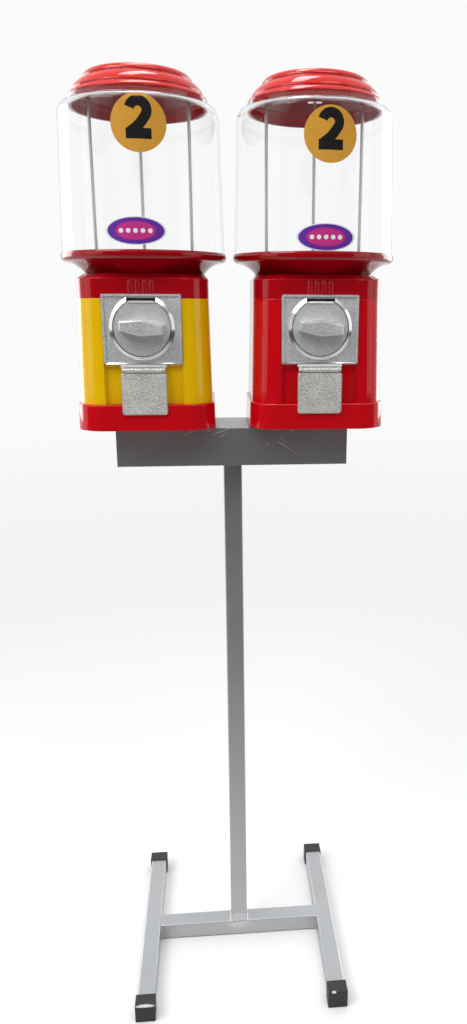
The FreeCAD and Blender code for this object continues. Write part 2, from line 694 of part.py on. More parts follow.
def lid():
    """Lid of three tiers with a locating skirt and sockets for the side rods."""
    w = LID_WALL
    skirt_low = NECK_TOP - SKIRT_DEPTH
    skirt_in = LID_SKIRT - SKIRT_WALL
    low_top = LID_BASE + TIER_LOW
    middle_top = low_top + TIER_MIDDLE
    high_top = middle_top + TIER_HIGH
    middle_r = LID_RADIUS - TIER_STEP
    high_r = middle_r - TIER_SLOPE
    low_edge = (LID_RADIUS, LID_BASE + TIER_RISER)
    middle_edge = (middle_r, low_top + TIER_RISER)
    high_edge = (high_r, middle_top + TIER_RISER)
    brow = (high_r - BROW_WIDTH, high_top)
    inner_brow = (brow[0] - w, high_top - w)
    crown_bow = LID_CROWN / (4 * brow[0])
    shell = turned([
        (skirt_in, skirt_low), (LID_SKIRT, skirt_low), (LID_SKIRT, LID_BASE), (LID_RADIUS, LID_BASE),
        low_edge, bowed(low_edge, (middle_r, low_top), TIER_BOW),
        middle_edge, bowed(middle_edge, (high_r, middle_top), TIER_BOW),
        high_edge, bowed(high_edge, brow, TIER_BOW), bowed(brow, (0, LID_TOP), crown_bow),
        (0, CEILING), bowed((0, CEILING), inner_brow, -crown_bow),
        (high_r - w, middle_top), (middle_r - w, middle_edge[1]),
        (middle_r - w, low_top - w), (skirt_in, low_top - w),
    ])
    socket_low = LID_BASE + SOCKET_LOW
    socket_high = high_top - w + SOCKET_ROOT
    for x in (-SIDE_ROD_X, SIDE_ROD_X):
        shell = shell.fuse(rod(LID_SOCKET, (x, 0, socket_low), Z_AXIS, socket_high - socket_low))
        bore = ROD_TOP + HOLE_GAP - socket_low
        shell = shell.cut(rod(ROD_RADIUS + MOVING_GAP, (x, 0, socket_low), Z_AXIS, bore))
    lock_hole = rod(LOCK_RADIUS + RUNNING_GAP, (0, 0, CEILING - PAST), Z_AXIS, w + 2 * PAST)
    return shell.cut(lock_hole).removeSplitter()


def lock_barrel():
    """Barrel through the lid, bored for the plug above and for the end of the centre rod below."""
    body = rod(LOCK_RADIUS, (0, 0, BARREL_LOW), Z_AXIS, LOCK_LENGTH)
    body = body.fuse(rod(LOCK_RADIUS + COLLAR_WIDTH, (0, 0, LID_TOP), Z_AXIS, COLLAR_HEIGHT))
    plug_hole = rod(PLUG_RADIUS + RUNNING_GAP, (0, 0, PLUG_LOW - RUNNING_GAP), Z_AXIS, LOCK_LENGTH)
    rod_hole = rod(ROD_RADIUS + MOVING_GAP, (0, 0, BARREL_LOW), Z_AXIS, LOCK_LENGTH)
    return body.cut(plug_hole).cut(rod_hole).removeSplitter()


def lock_plug():
    """Plug that turns in the barrel, with a keyway in its face."""
    plug = rod(PLUG_RADIUS, (0, 0, PLUG_LOW), Z_AXIS, PLUG_FACE - PLUG_LOW)
    keyway = PLUG_FACE - KEYWAY_DEPTH
    blade = PLUG_RADIUS * 0.64
    plug = plug.cut(box(-KEY_HALF, KEY_HALF, -blade, blade, keyway, PLUG_FACE))
    return plug.cut(box(-WARD_REACH, WARD_REACH, -WARD_HALF, WARD_HALF, keyway, PLUG_FACE))


def center_rod():
    return rod(ROD_RADIUS, (0, 0, BASE_FLOOR), Z_AXIS, ROD_TOP - BASE_FLOOR)


SOCKET_NUT = 3.0
SOCKET_NUT_ACROSS = 7.0
UPPER_NUT = 3.5
UPPER_NUT_ACROSS = 8.0
BASE_NUT = 4.0
BASE_NUT_ACROSS = 9.0


def side_rods():
    low = ROD_SOCKET_LOW - SOCKET_NUT - SHAFT_END
    return [rod(ROD_RADIUS, (x, 0, low), Z_AXIS, ROD_TOP - low) for x in (-SIDE_ROD_X, SIDE_ROD_X)]


def rod_nuts():
    nuts = [hexagon_nut(BASE_NUT_ACROSS, BASE_NUT, ROD_RADIUS, (0, 0, ROD_BOSS_TOP))]
    for x in (-SIDE_ROD_X, SIDE_ROD_X):
        below = (x, 0, ROD_SOCKET_LOW - SOCKET_NUT)
        nuts.append(hexagon_nut(SOCKET_NUT_ACROSS, SOCKET_NUT, ROD_RADIUS, below))
        nuts.append(hexagon_nut(UPPER_NUT_ACROSS, UPPER_NUT, ROD_RADIUS, (x, 0, ROD_SOCKET_HIGH)))
    return nuts


# Dispensing wheel and its drive

def wheel():
    """Wheel with through pockets and crown teeth under its rim."""
    disc = rod(WHEEL_RADIUS, (0, 0, DISC_UNDER), Z_AXIS, WHEEL_THICKNESS)
    hub_low = WELL_FLOOR + MOVING_GAP
    solid = disc.fuse(rod(HUB_RADIUS, (0, 0, hub_low), Z_AXIS, HUB_TOP - hub_low))
    for i in range(POCKETS):
        a = math.radians(-90 + 360 * i / POCKETS)
        at = (POCKET_RING * math.cos(a), POCKET_RING * math.sin(a), DISC_UNDER)
        solid = solid.cut(rod(POCKET_RADIUS, at, Z_AXIS, WHEEL_THICKNESS))
    tip = PITCH_Z - ADDENDUM
    root = DISC_UNDER + ADDENDUM / 4
    tooth = front_prism([(-TOOTH_TIP_HALF, tip), (TOOTH_TIP_HALF, tip),
                         (TOOTH_ROOT_HALF, root), (-TOOTH_ROOT_HALF, root)], GEAR_FRONT, CROWN_FACE)
    teeth = []
    for i in range(WHEEL_TEETH):
        copy = tooth.copy()
        copy.rotate(ORIGIN, Z_AXIS, 360 * i / WHEEL_TEETH)
        teeth.append(copy)
    solid = solid.fuse(teeth)
    return solid.cut(rod(HUB_BORE, (0, 0, hub_low), Z_AXIS, HUB_TOP - hub_low)).removeSplitter()


def agitator():
    """Sleeve with three rising fingers that keeps the balls moving."""
    sleeve = rod(AGITATOR_RADIUS, (0, 0, HUB_TOP), Z_AXIS, AGITATOR_HEIGHT)
    for i in range(3):
        a = math.radians(120 * i + 30)
        finger = Vector(math.cos(a), math.sin(a), FINGER_SLOPE)
        start = (0, 0, HUB_TOP + AGITATOR_HEIGHT / 2)
        sleeve = sleeve.fuse(rod(FINGER_RADIUS, start, finger, FINGER_LENGTH))
    return sleeve.cut(rod(HUB_BORE, (0, 0, HUB_TOP), Z_AXIS, FINGER_LENGTH)).removeSplitter()


def wheel_cover():
    """Plate over the outlet, held by the well's wall, that lets no ball fall straight through."""
    low = WHEEL_TOP + COVER_GAP
    outer = WELL_RADIUS - RUNNING_GAP
    inner = HUB_RADIUS + 2 * FINGER_RADIUS
    ring = tube_between(outer, inner, (0, 0, low), Z_AXIS, COVER_THICKNESS)
    spread = math.radians(COVER_SPREAD)
    reach = 2 * WELL_RADIUS
    x = reach * math.sin(spread)
    y = -reach * math.cos(spread)
    corners = [Vector(0, 0, low), Vector(-x, y, low), Vector(x, y, low), Vector(0, 0, low)]
    sector = Part.Face(Part.makePolygon(corners)).extrude(Vector(0, 0, COVER_THICKNESS))
    return ring.common(sector)


def drive_gear():
    """Straight-toothed pinion on the shaft, with a gap between teeth at the top."""
    root = GEAR_RADIUS - DEDENDUM
    tip = GEAR_RADIUS + ADDENDUM
    flank = ((root, -TOOTH_ROOT_HALF), (tip, -TOOTH_TIP_HALF),
             (tip, TOOTH_TIP_HALF), (root, TOOTH_ROOT_HALF))
    points = []
    for i in range(GEAR_TEETH):
        a = math.pi / 2 + math.pi * (2 * i + 1) / GEAR_TEETH
        for radius, half in flank:
            x = radius * math.cos(a) - half * math.sin(a)
            z = radius * math.sin(a) + half * math.cos(a)
            points.append((x, KNOB_Z + z))
    gear = front_prism(points, GEAR_FRONT, CROWN_FACE)
    return gear.cut(rod(SHAFT_RADIUS, (0, GEAR_FRONT, KNOB_Z), Y_AXIS, CROWN_FACE))


def ratchet():
    """Saw-toothed disc on the shaft, inside the housing."""
    root = RATCHET_TIP - RATCHET_CUT
    points = []
    for i in range(RATCHET_TEETH):
        a = 2 * math.pi * i / RATCHET_TEETH
        b = 2 * math.pi * (i + 0.85) / RATCHET_TEETH
        points.append((RATCHET_TIP * math.cos(a), KNOB_Z + RATCHET_TIP * math.sin(a)))
        points.append((root * math.cos(b), KNOB_Z + root * math.sin(b)))
    disc = front_prism(points, RATCHET_FRONT, RATCHET_DEPTH)
    return disc.cut(rod(SHAFT_RADIUS, (0, RATCHET_FRONT, KNOB_Z), Y_AXIS, RATCHET_DEPTH))


def pawl():
    """Arm on a pin in the housing; its nose rides on the ratchet's teeth."""
    eye_z = KNOB_Z + PAWL_RISE
    nose_z = KNOB_Z + RATCHET_TIP + HOLE_GAP
    arm = front_prism([(PAWL_NOSE, nose_z), (PAWL_X + PAWL_PIN / 2, eye_z - PAWL_EYE * 0.9),
                       (PAWL_X - PAWL_PIN / 2, eye_z + PAWL_EYE * 0.9),
                       (PAWL_NOSE, nose_z + PAWL_PIN)], RATCHET_FRONT, RATCHET_DEPTH)
    arm = arm.fuse(rod(PAWL_EYE, (PAWL_X, RATCHET_FRONT, eye_z), Y_AXIS, RATCHET_DEPTH))
    bore = rod(PAWL_PIN + RUNNING_GAP, (PAWL_X, RATCHET_FRONT, eye_z), Y_AXIS, RATCHET_DEPTH)
    return arm.cut(bore).removeSplitter()


def drive_shaft():
    return rod(SHAFT_RADIUS, (0, DISC_BACK, KNOB_Z), Y_AXIS, GEAR_BACK + SHAFT_END - DISC_BACK)


# Coin mechanism

def door_lug(x):
    """Ear below the plate that holds one end of the door's pin."""
    top = PIN_Z + KNUCKLE_RADIUS + LUG_WALL
    below = (PIN_Y, PIN_Z - LUG_RADIUS)
    above = (PIN_Y, PIN_Z + LUG_RADIUS)
    tip = (PIN_Y - LUG_RADIUS, PIN_Z)
    lug = side_prism([(FACE_Y, top), (FACE_Y, below[1]), below, (tip, above), (PLATE_FRONT, top)], LUG_HALF)
    lug.translate(Vector(x, 0, 0))
    return lug


def mech_plate():
    """Face plate with a raised rim, the coin slot and lugs for the door's pin."""
    plate = rounded_plate(PLATE_HALF, PLATE_LOW, PLATE_HIGH, PLATE_CORNER, PLATE_FRONT, FACE_Y)
    rim_front = PLATE_FRONT - PLATE_RIM_HEIGHT
    rim = rounded_plate(PLATE_HALF, PLATE_LOW, PLATE_HIGH, PLATE_CORNER, rim_front, PLATE_FRONT)
    inside = PLATE_HALF - PLATE_RIM
    rim = rim.cut(box(-inside, inside, rim_front, PLATE_FRONT, PLATE_LOW, PLATE_HIGH - PLATE_RIM))
    reach = PLATE_RIM_HEIGHT + PLATE_BEVEL
    wedge = [(rim_front, PLATE_LOW), (rim_front + reach, PLATE_LOW), (rim_front, PLATE_LOW + reach)]
    plate = plate.fuse(rim).cut(side_prism(wedge, PLATE_HALF))
    tab_low = PIN_Z + KNUCKLE_RADIUS
    tab_high = PLATE_LOW + PLATE_BEVEL
    plate = plate.fuse(box(-DOOR_HALF, DOOR_HALF, PLATE_FRONT, FACE_Y, tab_low, tab_high))
    for x in (-LUG_X, LUG_X):
        plate = plate.fuse(door_lug(x))
    front = rim_front - PAST
    through = FACE_Y + PAST - front
    plate = plate.cut(rod(RING_INNER, (0, front, KNOB_Z), Y_AXIS, through))
    plate = plate.cut(face_cut(COIN_SLOT_HALF, SLOT_LOW, SLOT_HIGH, front, FACE_Y))
    plate = plate.cut(rod(PIN_RADIUS, (-DOOR_HALF, PIN_Y, PIN_Z), X_AXIS, 2 * DOOR_HALF))
    for x, z in screw_places():
        plate = plate.cut(rod(SCREW_RADIUS, (x, FACE_Y - SCREW_DEPTH, z), Y_AXIS, SCREW_DEPTH))
    return plate.removeSplitter()


def mech_screws():
    """Screws that hold the plate from inside the panel."""
    screws = []
    for x, z in screw_places():
        shank = rod(SCREW_RADIUS, (x, FACE_Y - SCREW_DEPTH, z), Y_AXIS, SCREW_DEPTH + FACE_BACKING)
        head = rod(SCREW_HEAD_RADIUS, (x, FACE_Y + FACE_BACKING, z), Y_AXIS, SCREW_HEAD)
        screws.append(shank.fuse(head).removeSplitter())
    return screws


def mech_ring():
    """Polished sloping bezel round the disc, open at the coin slot and clear of the plate's rim."""
    front = PLATE_FRONT - RING_DEPTH
    land = RING_INNER + RING_LAND
    slope = Part.makeCone(land, RING_OUTER, RING_DEPTH - RING_EDGE, Vector(0, front, KNOB_Z), Y_AXIS)
    ring = slope.fuse(rod(RING_OUTER, (0, PLATE_FRONT - RING_EDGE, KNOB_Z), Y_AXIS, RING_EDGE))
    ring = ring.cut(rod(RING_INNER, (0, front, KNOB_Z), Y_AXIS, RING_DEPTH))
    top = KNOB_Z + RING_OUTER + PAST
    ring = ring.cut(face_cut(COIN_SLOT_HALF, KNOB_Z, top, front, PLATE_FRONT))
    rim_low = PLATE_HIGH - PLATE_RIM - RUNNING_GAP
    return ring.cut(face_cut(RING_OUTER, rim_low, top, front, PLATE_FRONT)).removeSplitter()


def knob():
    """Turning disc, flat above where the coin lies, with a six-sided handle."""
    disc = rod(DISC_RADIUS, (0, DISC_FRONT, KNOB_Z), Y_AXIS, DISC_DEPTH)
    disc = disc.cut(face_cut(DISC_RADIUS, SLOT_LOW, KNOB_Z + DISC_RADIUS, DISC_FRONT, DISC_BACK))
    handle = front_prism([
        (-HANDLE_HALF, KNOB_Z - HANDLE_END), (0, KNOB_Z - HANDLE_MIDDLE), (HANDLE_HALF, KNOB_Z - HANDLE_END),
        (HANDLE_HALF, KNOB_Z + HANDLE_END), (0, KNOB_Z + HANDLE_MIDDLE), (-HANDLE_HALF, KNOB_Z + HANDLE_END),
    ], HANDLE_FRONT, HANDLE_DEPTH)
    handle = handle.makeChamfer(HANDLE_BEVEL, edges_at_y(handle, HANDLE_FRONT))
    handle.rotate(Vector(0, 0, KNOB_Z), Y_AXIS, HANDLE_TILT)
    return disc.fuse(handle).removeSplitter()


def mech_housing():
    """Box behind the plate with the shaft's bearing, the pawl's pin and a coin drop."""
    w = HOUSING_WALL
    half = HOUSING_HALF
    inner_back = HOUSING_BACK - w
    shell = box(-half, half, FACE_Y, HOUSING_BACK, HOUSING_LOW, HOUSING_HIGH)
    shell = shell.cut(box(w - half, half - w, FACE_Y, inner_back, HOUSING_LOW + w, HOUSING_HIGH - w))
    shell = shell.cut(box(-COIN_DROP_HALF, COIN_DROP_HALF, FACE_Y + w, inner_back - w,
                          HOUSING_LOW, HOUSING_LOW + w))
    bearing_front = inner_back - BEARING_FRONT
    bearing_back = HOUSING_BACK + BEARING_BACK
    shell = shell.fuse(rod(BEARING_RADIUS, (0, bearing_front, KNOB_Z), Y_AXIS, bearing_back - bearing_front))
    bore = SHAFT_RADIUS + RUNNING_GAP
    shell = shell.cut(rod(bore, (0, FACE_Y, KNOB_Z), Y_AXIS, bearing_back - FACE_Y))
    pin_front = RATCHET_FRONT - HOLE_GAP
    pin = rod(PAWL_PIN, (PAWL_X, pin_front, KNOB_Z + PAWL_RISE), Y_AXIS, inner_back - pin_front)
    return shell.fuse(pin).removeSplitter()


# Chute and door

def chute():
    """Duct from the wheel's outlet down and forward to the door."""
    w = CHUTE_WALL
    front = -POCKET_RING - OUTLET_RADIUS
    back = -POCKET_RING + OUTLET_RADIUS
    roof = HOUSING_LOW + CHUTE_ROOF_RISE
    bend = FACE_Y + FACE_BACKING + DOOR_GAP
    landing = CHUTE_MOUTH + CHUTE_LANDING
    outer = side_prism([
        (front - w, WELL_UNDER), (back + w, WELL_UNDER), (back + w, CHUTE_HIGH), (landing, CHUTE_LOW),
        (CHUTE_MOUTH, CHUTE_LOW), (CHUTE_MOUTH, CHUTE_HIGH), (bend, CHUTE_HIGH), (front - w, roof),
    ], CHUTE_HALF)
    inner = side_prism([
        (front, WELL_UNDER), (back, WELL_UNDER), (back, CHUTE_HIGH + w / 2), (landing, CHUTE_LOW + w),
        (CHUTE_MOUTH, CHUTE_LOW + w), (CHUTE_MOUTH, CHUTE_HIGH - w), (bend, CHUTE_HIGH - w),
        (front, roof - w / 2),
    ], CHUTE_HALF - w)
    return outer.cut(inner)


def door():
    """Flap that hangs on the pin in front of the chute."""
    front = DOOR_BACK - DOOR_THICKNESS
    flap_top = PIN_Z - KNUCKLE_RADIUS - RUNNING_GAP
    flap = rounded_plate(DOOR_HALF, DOOR_LOW, flap_top, DOOR_CORNER, front, DOOR_BACK)
    flap = flap.makeChamfer(DOOR_BEVEL, edges_at_y(flap, front))
    inside = LUG_X - LUG_HALF - MOVING_GAP
    strap_low = flap_top - KNUCKLE_RADIUS
    flap = flap.fuse(box(-inside, inside, front + DOOR_BEVEL, DOOR_BACK, strap_low, PIN_Z))
    flap = flap.fuse(rod(KNUCKLE_RADIUS, (-inside, PIN_Y, PIN_Z), X_AXIS, 2 * inside))
    bore = rod(PIN_RADIUS + RUNNING_GAP, (-inside, PIN_Y, PIN_Z), X_AXIS, 2 * inside)
    return flap.cut(bore).removeSplitter()


def door_pins():
    reach = LUG_X + LUG_HALF
    return [rod(PIN_RADIUS, (-reach, PIN_Y, PIN_Z), X_AXIS, 2 * reach)]


MACHINE_PIECES = [
    base, body_panel, body_top, wheel_housing, hopper, globe, lid, lock_barrel, lock_plug,
    center_rod, wheel, agitator, wheel_cover, drive_gear, ratchet, pawl, drive_shaft,
    mech_plate, mech_ring, knob, mech_housing, chute, door,
]
# Small pieces of both machines that share one node
SHARED_PIECES = [side_rods, rod_nuts, mech_screws, globe_gaskets, door_pins]


def machines():
    for make in MACHINE_PIECES:
        shape = make()
        for side, x in (("left", -MACHINE_X), ("right", MACHINE_X)):
            save(side + "_" + make.__name__, shape, (x, 0, BASE_Z))
    for make in SHARED_PIECES:
        group = []
        for x in (-MACHINE_X, MACHINE_X):
            for piece in make():
                piece.translate(Vector(x, 0, BASE_Z))
                group.append(piece)
        save(make.__name__, Part.makeCompound(group))


stand()
machines()
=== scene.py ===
# %% [markdown]
# A pair of gumball machines on a floor stand
#
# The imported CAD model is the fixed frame: every piece is in metres, in one
# shared space, and already at its real size. This lesson gives each piece its
# finish, adds the thin details that solids are a poor tool for (stickers, bright
# strips and lips, welds), and sets up a pale studio and the camera.

# %% Load the frame
import json
import math

import bpy
from mathutils import Matrix, Vector
from mathutils.bvhtree import BVHTree


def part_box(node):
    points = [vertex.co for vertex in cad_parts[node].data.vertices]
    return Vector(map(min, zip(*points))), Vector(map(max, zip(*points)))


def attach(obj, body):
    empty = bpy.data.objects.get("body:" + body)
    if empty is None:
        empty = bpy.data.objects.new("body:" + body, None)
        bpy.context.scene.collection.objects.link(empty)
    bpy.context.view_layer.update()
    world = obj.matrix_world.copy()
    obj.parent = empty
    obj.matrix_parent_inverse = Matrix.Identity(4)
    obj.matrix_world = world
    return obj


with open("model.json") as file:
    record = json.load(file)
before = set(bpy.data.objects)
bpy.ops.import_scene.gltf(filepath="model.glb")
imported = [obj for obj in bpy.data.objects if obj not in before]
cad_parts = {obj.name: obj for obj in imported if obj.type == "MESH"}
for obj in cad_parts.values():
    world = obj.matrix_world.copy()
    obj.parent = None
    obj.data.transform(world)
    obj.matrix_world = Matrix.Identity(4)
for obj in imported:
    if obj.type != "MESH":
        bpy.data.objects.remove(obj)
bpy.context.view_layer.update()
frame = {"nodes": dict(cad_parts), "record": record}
nodes = frame["nodes"]
slot_of_node = {part["node"]: part["material_slot"] for part in frame["record"]["subparts"]}
MM = 0.001
SIDES = ("left", "right")


def middle_x(name):
    """Middle of a CAD node's box, from left to right."""
    low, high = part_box(name)
    return (low[0] + high[0]) / 2


# %% [markdown]
# Small helpers for shaders
#
# A material in Blender is a graph of nodes. It could be clicked together by hand,
# but code that adds a node, sets its sockets by name and links it keeps each
# material down to a few readable lines.

# %% Helpers for nodes
def set_inputs(node, values):
    """Sets input sockets by name; an underscore in a name stands for a space."""
    for name, value in values.items():
        node.inputs[name.replace("_", " ")].default_value = value


def add_node(tree, kind, options=None, **values):
    """Adds a node, sets its options (properties) and its input sockets by name."""
    node = tree.nodes.new("ShaderNode" + kind)
    for name, value in (options or {}).items():
        setattr(node, name, value)
    set_inputs(node, values)
    return node


def join(tree, source, out, target, into):
    """Links one socket to another; sockets are named, or numbered where names repeat."""
    tree.links.new(source.outputs[out], target.inputs[into])


def combine(tree, kind, operation, first, first_out, second, second_out, **options):
    """Math or vector math node that works on two outputs."""
    node = add_node(tree, kind, {"operation": operation, **options})
    join(tree, first, first_out, node, 0)
    join(tree, second, second_out, node, 1)
    return node


def ramp(tree, source, out, start, end, low=0.0, high=1.0, **options):
    """Goes from low to high while an output goes from start to end, and holds there."""
    node = add_node(tree, "MapRange", options, From_Min=start, From_Max=end, To_Min=low, To_Max=high)
    join(tree, source, out, node, "Value")
    return node


print("helpers for nodes are ready")

# %% Helpers for groups and materials
def new_group(name, inputs, outputs):
    """Starts a shader node group with named inputs (numbers or vectors) and named outputs."""
    tree = bpy.data.node_groups.new(name, "ShaderNodeTree")
    for label, value in inputs.items():
        kind = "Vector" if isinstance(value, tuple) else "Float"
        socket = tree.interface.new_socket(label, in_out="INPUT", socket_type="NodeSocket" + kind)
        socket.default_value = value
    for label, kind in outputs.items():
        tree.interface.new_socket(label, in_out="OUTPUT", socket_type="NodeSocket" + kind)
    return tree, tree.nodes.new("NodeGroupInput"), tree.nodes.new("NodeGroupOutput")


def place_group(tree, group, **values):
    """Places a group in a material, with its own values."""
    node = tree.nodes.new("ShaderNodeGroup")
    node.node_tree = group
    set_inputs(node, values)
    return node


def new_material(name, color, **values):
    """A material with its Principled BSDF; plain values go straight onto its sockets."""
    material = bpy.data.materials.new(name)
    material.use_nodes = True
    tree = material.node_tree
    shader = tree.nodes["Principled BSDF"]
    shader.inputs["Base Color"].default_value = (*color, 1)
    set_inputs(shader, values)
    return material, tree, shader


print("helpers for groups and materials are ready")

# %% [markdown]
# Grain
#
# Cast zinc, sprayed paint and moulded plastic all have a fine unevenness. One
# could model it, but at half a millimetre it belongs in the shader. This group
# mixes a fine noise with a broad one, and gives a value around one half and a
# height for bump. Object coordinates are metres here, so the scale is per metre.

# %% Grain group
NOISE_MIDDLE = 0.5


def make_grain():
    tree, start, end = new_group(
        "surface_grain", {"Fine Scale": 1200.0, "Broad Scale": 40.0, "Broad Share": 0.4, "Contrast": 1.0},
        {"Value": "Float", "Height": "Float"})
    place = add_node(tree, "TexCoord")
    fine = add_node(tree, "TexNoise", Detail=3.0, Roughness=0.6)
    broad = add_node(tree, "TexNoise", Detail=2.0)
    for texture, label in ((fine, "Fine Scale"), (broad, "Broad Scale")):
        join(tree, place, "Object", texture, "Vector")
        join(tree, start, label, texture, "Scale")
    blend = add_node(tree, "Mix")
    join(tree, start, "Broad Share", blend, "Factor")
    join(tree, fine, "Fac", blend, "A")
    join(tree, broad, "Fac", blend, "B")
    centered = add_node(tree, "Math", {"operation": "SUBTRACT"})
    centered.inputs[1].default_value = NOISE_MIDDLE
    join(tree, blend, "Result", centered, 0)
    spread = combine(tree, "Math", "MULTIPLY_ADD", centered, "Value", start, "Contrast", use_clamp=True)
    spread.inputs[2].default_value = NOISE_MIDDLE
    join(tree, spread, "Value", end, "Value")
    join(tree, fine, "Fac", end, "Height")
    return tree


grain = make_grain()
print("group", grain.name)

# %% [markdown]
# Worn edges
#
# Paint and plating wear first where hands and feet reach: on edges. The Bevel
# node gives the normal of a softly rounded edge. Where it differs from the true
# normal there is an edge, so the dot product of the two makes a mask, and noise
# breaks it up into chips. The soft normal is handed on too, because no real edge
# is perfectly sharp.

# %% Worn edge group
EDGE_STARTS_AT = 0.995
EDGE_FULL_AT = 0.9
CHIPS_BETWEEN = (0.42, 0.58)


def make_worn_edges():
    tree, start, end = new_group(
        "worn_edges", {"Radius": 0.001, "Chip Scale": 300.0, "Amount": 0.5},
        {"Mask": "Float", "Normal": "Vector"})
    soft = add_node(tree, "Bevel", {"samples": 4})
    join(tree, start, "Radius", soft, "Radius")
    true = add_node(tree, "NewGeometry")
    dot = combine(tree, "VectorMath", "DOT_PRODUCT", soft, "Normal", true, "Normal")
    edge = ramp(tree, dot, "Value", EDGE_STARTS_AT, EDGE_FULL_AT)
    place = add_node(tree, "TexCoord")
    chips = add_node(tree, "TexNoise", Detail=4.0, Roughness=0.7)
    join(tree, place, "Object", chips, "Vector")
    join(tree, start, "Chip Scale", chips, "Scale")
    broken = ramp(tree, chips, "Fac", *CHIPS_BETWEEN)
    both = combine(tree, "Math", "MULTIPLY", edge, "Result", broken, "Result")
    share = combine(tree, "Math", "MULTIPLY", both, "Value", start, "Amount")
    join(tree, share, "Value", end, "Mask")
    join(tree, soft, "Normal", end, "Normal")
    return tree


worn_edges = make_worn_edges()
print("group", worn_edges.name)

# %% [markdown]
# Scratches
#
# Years of sliding things about leave thin pale lines. A noise that is stretched
# along one direction and cut to its highest values gives such lines with no image.
# The direction turns in the plane of the front, where the lines show. A second,
# broad noise keeps them in patches.

# %% Scratch group
LINE_SOFTNESS = 0.04
PATCHES_PER_METRE = 9.0


def make_scratches():
    tree, start, end = new_group(
        "scratches", {"Length Scale": 12.0, "Width Scale": 420.0, "Turn": 0.5, "Patch": 0.55, "Cut": 0.66},
        {"Mask": "Float"})
    place = add_node(tree, "TexCoord")
    turned = add_node(tree, "VectorRotate", {"rotation_type": "Y_AXIS"})
    join(tree, place, "Object", turned, "Vector")
    join(tree, start, "Turn", turned, "Angle")
    sizes = add_node(tree, "CombineXYZ")
    for axis, label in (("X", "Length Scale"), ("Y", "Width Scale"), ("Z", "Width Scale")):
        join(tree, start, label, sizes, axis)
    stretched = combine(tree, "VectorMath", "MULTIPLY", turned, "Vector", sizes, "Vector")
    lines = add_node(tree, "TexNoise", Scale=1.0, Detail=1.0)
    join(tree, stretched, "Vector", lines, "Vector")
    above = combine(tree, "Math", "SUBTRACT", lines, "Fac", start, "Cut")
    narrow = ramp(tree, above, "Value", 0.0, LINE_SOFTNESS)
    patches = add_node(tree, "TexNoise", Scale=PATCHES_PER_METRE, Detail=1.0)
    join(tree, place, "Object", patches, "Vector")
    where = combine(tree, "Math", "GREATER_THAN", patches, "Fac", start, "Patch")
    both = combine(tree, "Math", "MULTIPLY", narrow, "Result", where, "Value")
    join(tree, both, "Value", end, "Mask")
    return tree


scratches = make_scratches()
print("group", scratches.name)

# %% [markdown]
# Patches
#
# Some wear sits in one place: a ground weld, a scuffed corner. This group gives a
# mask that is one near a chosen point and falls to zero at about a chosen reach
# along each axis. A noise added to the distance makes its border ragged.

# %% Patch group
PATCH_GONE_AT = 1.4
PATCH_FULL_AT = 1.1


def make_patch():
    tree, start, end = new_group(
        "patch", {"Center": (0.0, 0.0, 0.0), "Reach": (0.02, 0.02, 0.02), "Ragged Scale": 400.0},
        {"Mask": "Float"})
    place = add_node(tree, "TexCoord")
    away = combine(tree, "VectorMath", "SUBTRACT", place, "Object", start, "Center")
    shares = combine(tree, "VectorMath", "DIVIDE", away, "Vector", start, "Reach")
    distance = add_node(tree, "VectorMath", {"operation": "LENGTH"})
    join(tree, shares, "Vector", distance, 0)
    ragged = add_node(tree, "TexNoise", Detail=3.0, Roughness=0.7)
    join(tree, place, "Object", ragged, "Vector")
    join(tree, start, "Ragged Scale", ragged, "Scale")
    both = combine(tree, "Math", "ADD", distance, "Value", ragged, "Fac")
    inside = ramp(tree, both, "Value", PATCH_GONE_AT, PATCH_FULL_AT)
    join(tree, inside, "Result", end, "Mask")
    return tree


patch = make_patch()
print("group", patch.name)

# %% [markdown]
# Shared wiring
#
# Most finishes here vary in the same three ways: the colour shifts a little, the
# roughness shifts a little, and the surface has a slight bump. A few helpers do
# that wiring, so each material only gives its own numbers. Masks are multiplied
# to keep what they share, and added to keep both.

# %% Helpers for varied finishes
def vary_color(tree, shader, mask, out, first, second, into="Base Color"):
    """Colour that goes from a first one to a second, by a mask."""
    mix = add_node(tree, "Mix", {"data_type": "RGBA"})
    mix.inputs["A"].default_value = (*first, 1)
    mix.inputs["B"].default_value = (*second, 1)
    join(tree, mask, out, mix, "Factor")
    join(tree, mix, "Result", shader, into)
    return mix


def mix_over(tree, shader, under, mask, out, color, into="Base Color"):
    """Lays another colour over the one that feeds the shader, by a mask."""
    mix = add_node(tree, "Mix", {"data_type": "RGBA"})
    mix.inputs["B"].default_value = (*color, 1)
    join(tree, under, "Result", mix, "A")
    join(tree, mask, out, mix, "Factor")
    join(tree, mix, "Result", shader, into)
    return mix


def vary_roughness(tree, shader, mask, out, low, high):
    """Roughness between two values, by a mask."""
    spread = ramp(tree, mask, out, 0.0, 1.0, low, high)
    join(tree, spread, "Result", shader, "Roughness")
    return spread


def polish_where(tree, shader, rough, polished, low):
    """Lays a low roughness over a spread one, where a mask says that the face is polished."""
    mix = add_node(tree, "Mix")
    mix.inputs["B"].default_value = low
    join(tree, rough, "Result", mix, "A")
    join(tree, polished, "Mask", mix, "Factor")
    join(tree, mix, "Result", shader, "Roughness")


def add_bump(tree, shader, source, out, depth_mm, normal=None):
    """Bump from a height, on top of the soft edges of a worn edge group where one is given."""
    bump = add_node(tree, "Bump", Strength=1.0, Distance=depth_mm * MM)
    join(tree, source, out, bump, "Height")
    if normal:
        join(tree, normal, "Normal", bump, "Normal")
    join(tree, bump, "Normal", shader, "Normal")


print("helpers for finishes are ready")

# %% Helpers for masks
def multiply(tree, first, first_out, second, second_out):
    """What two masks share."""
    return combine(tree, "Math", "MULTIPLY", first, first_out, second, second_out)


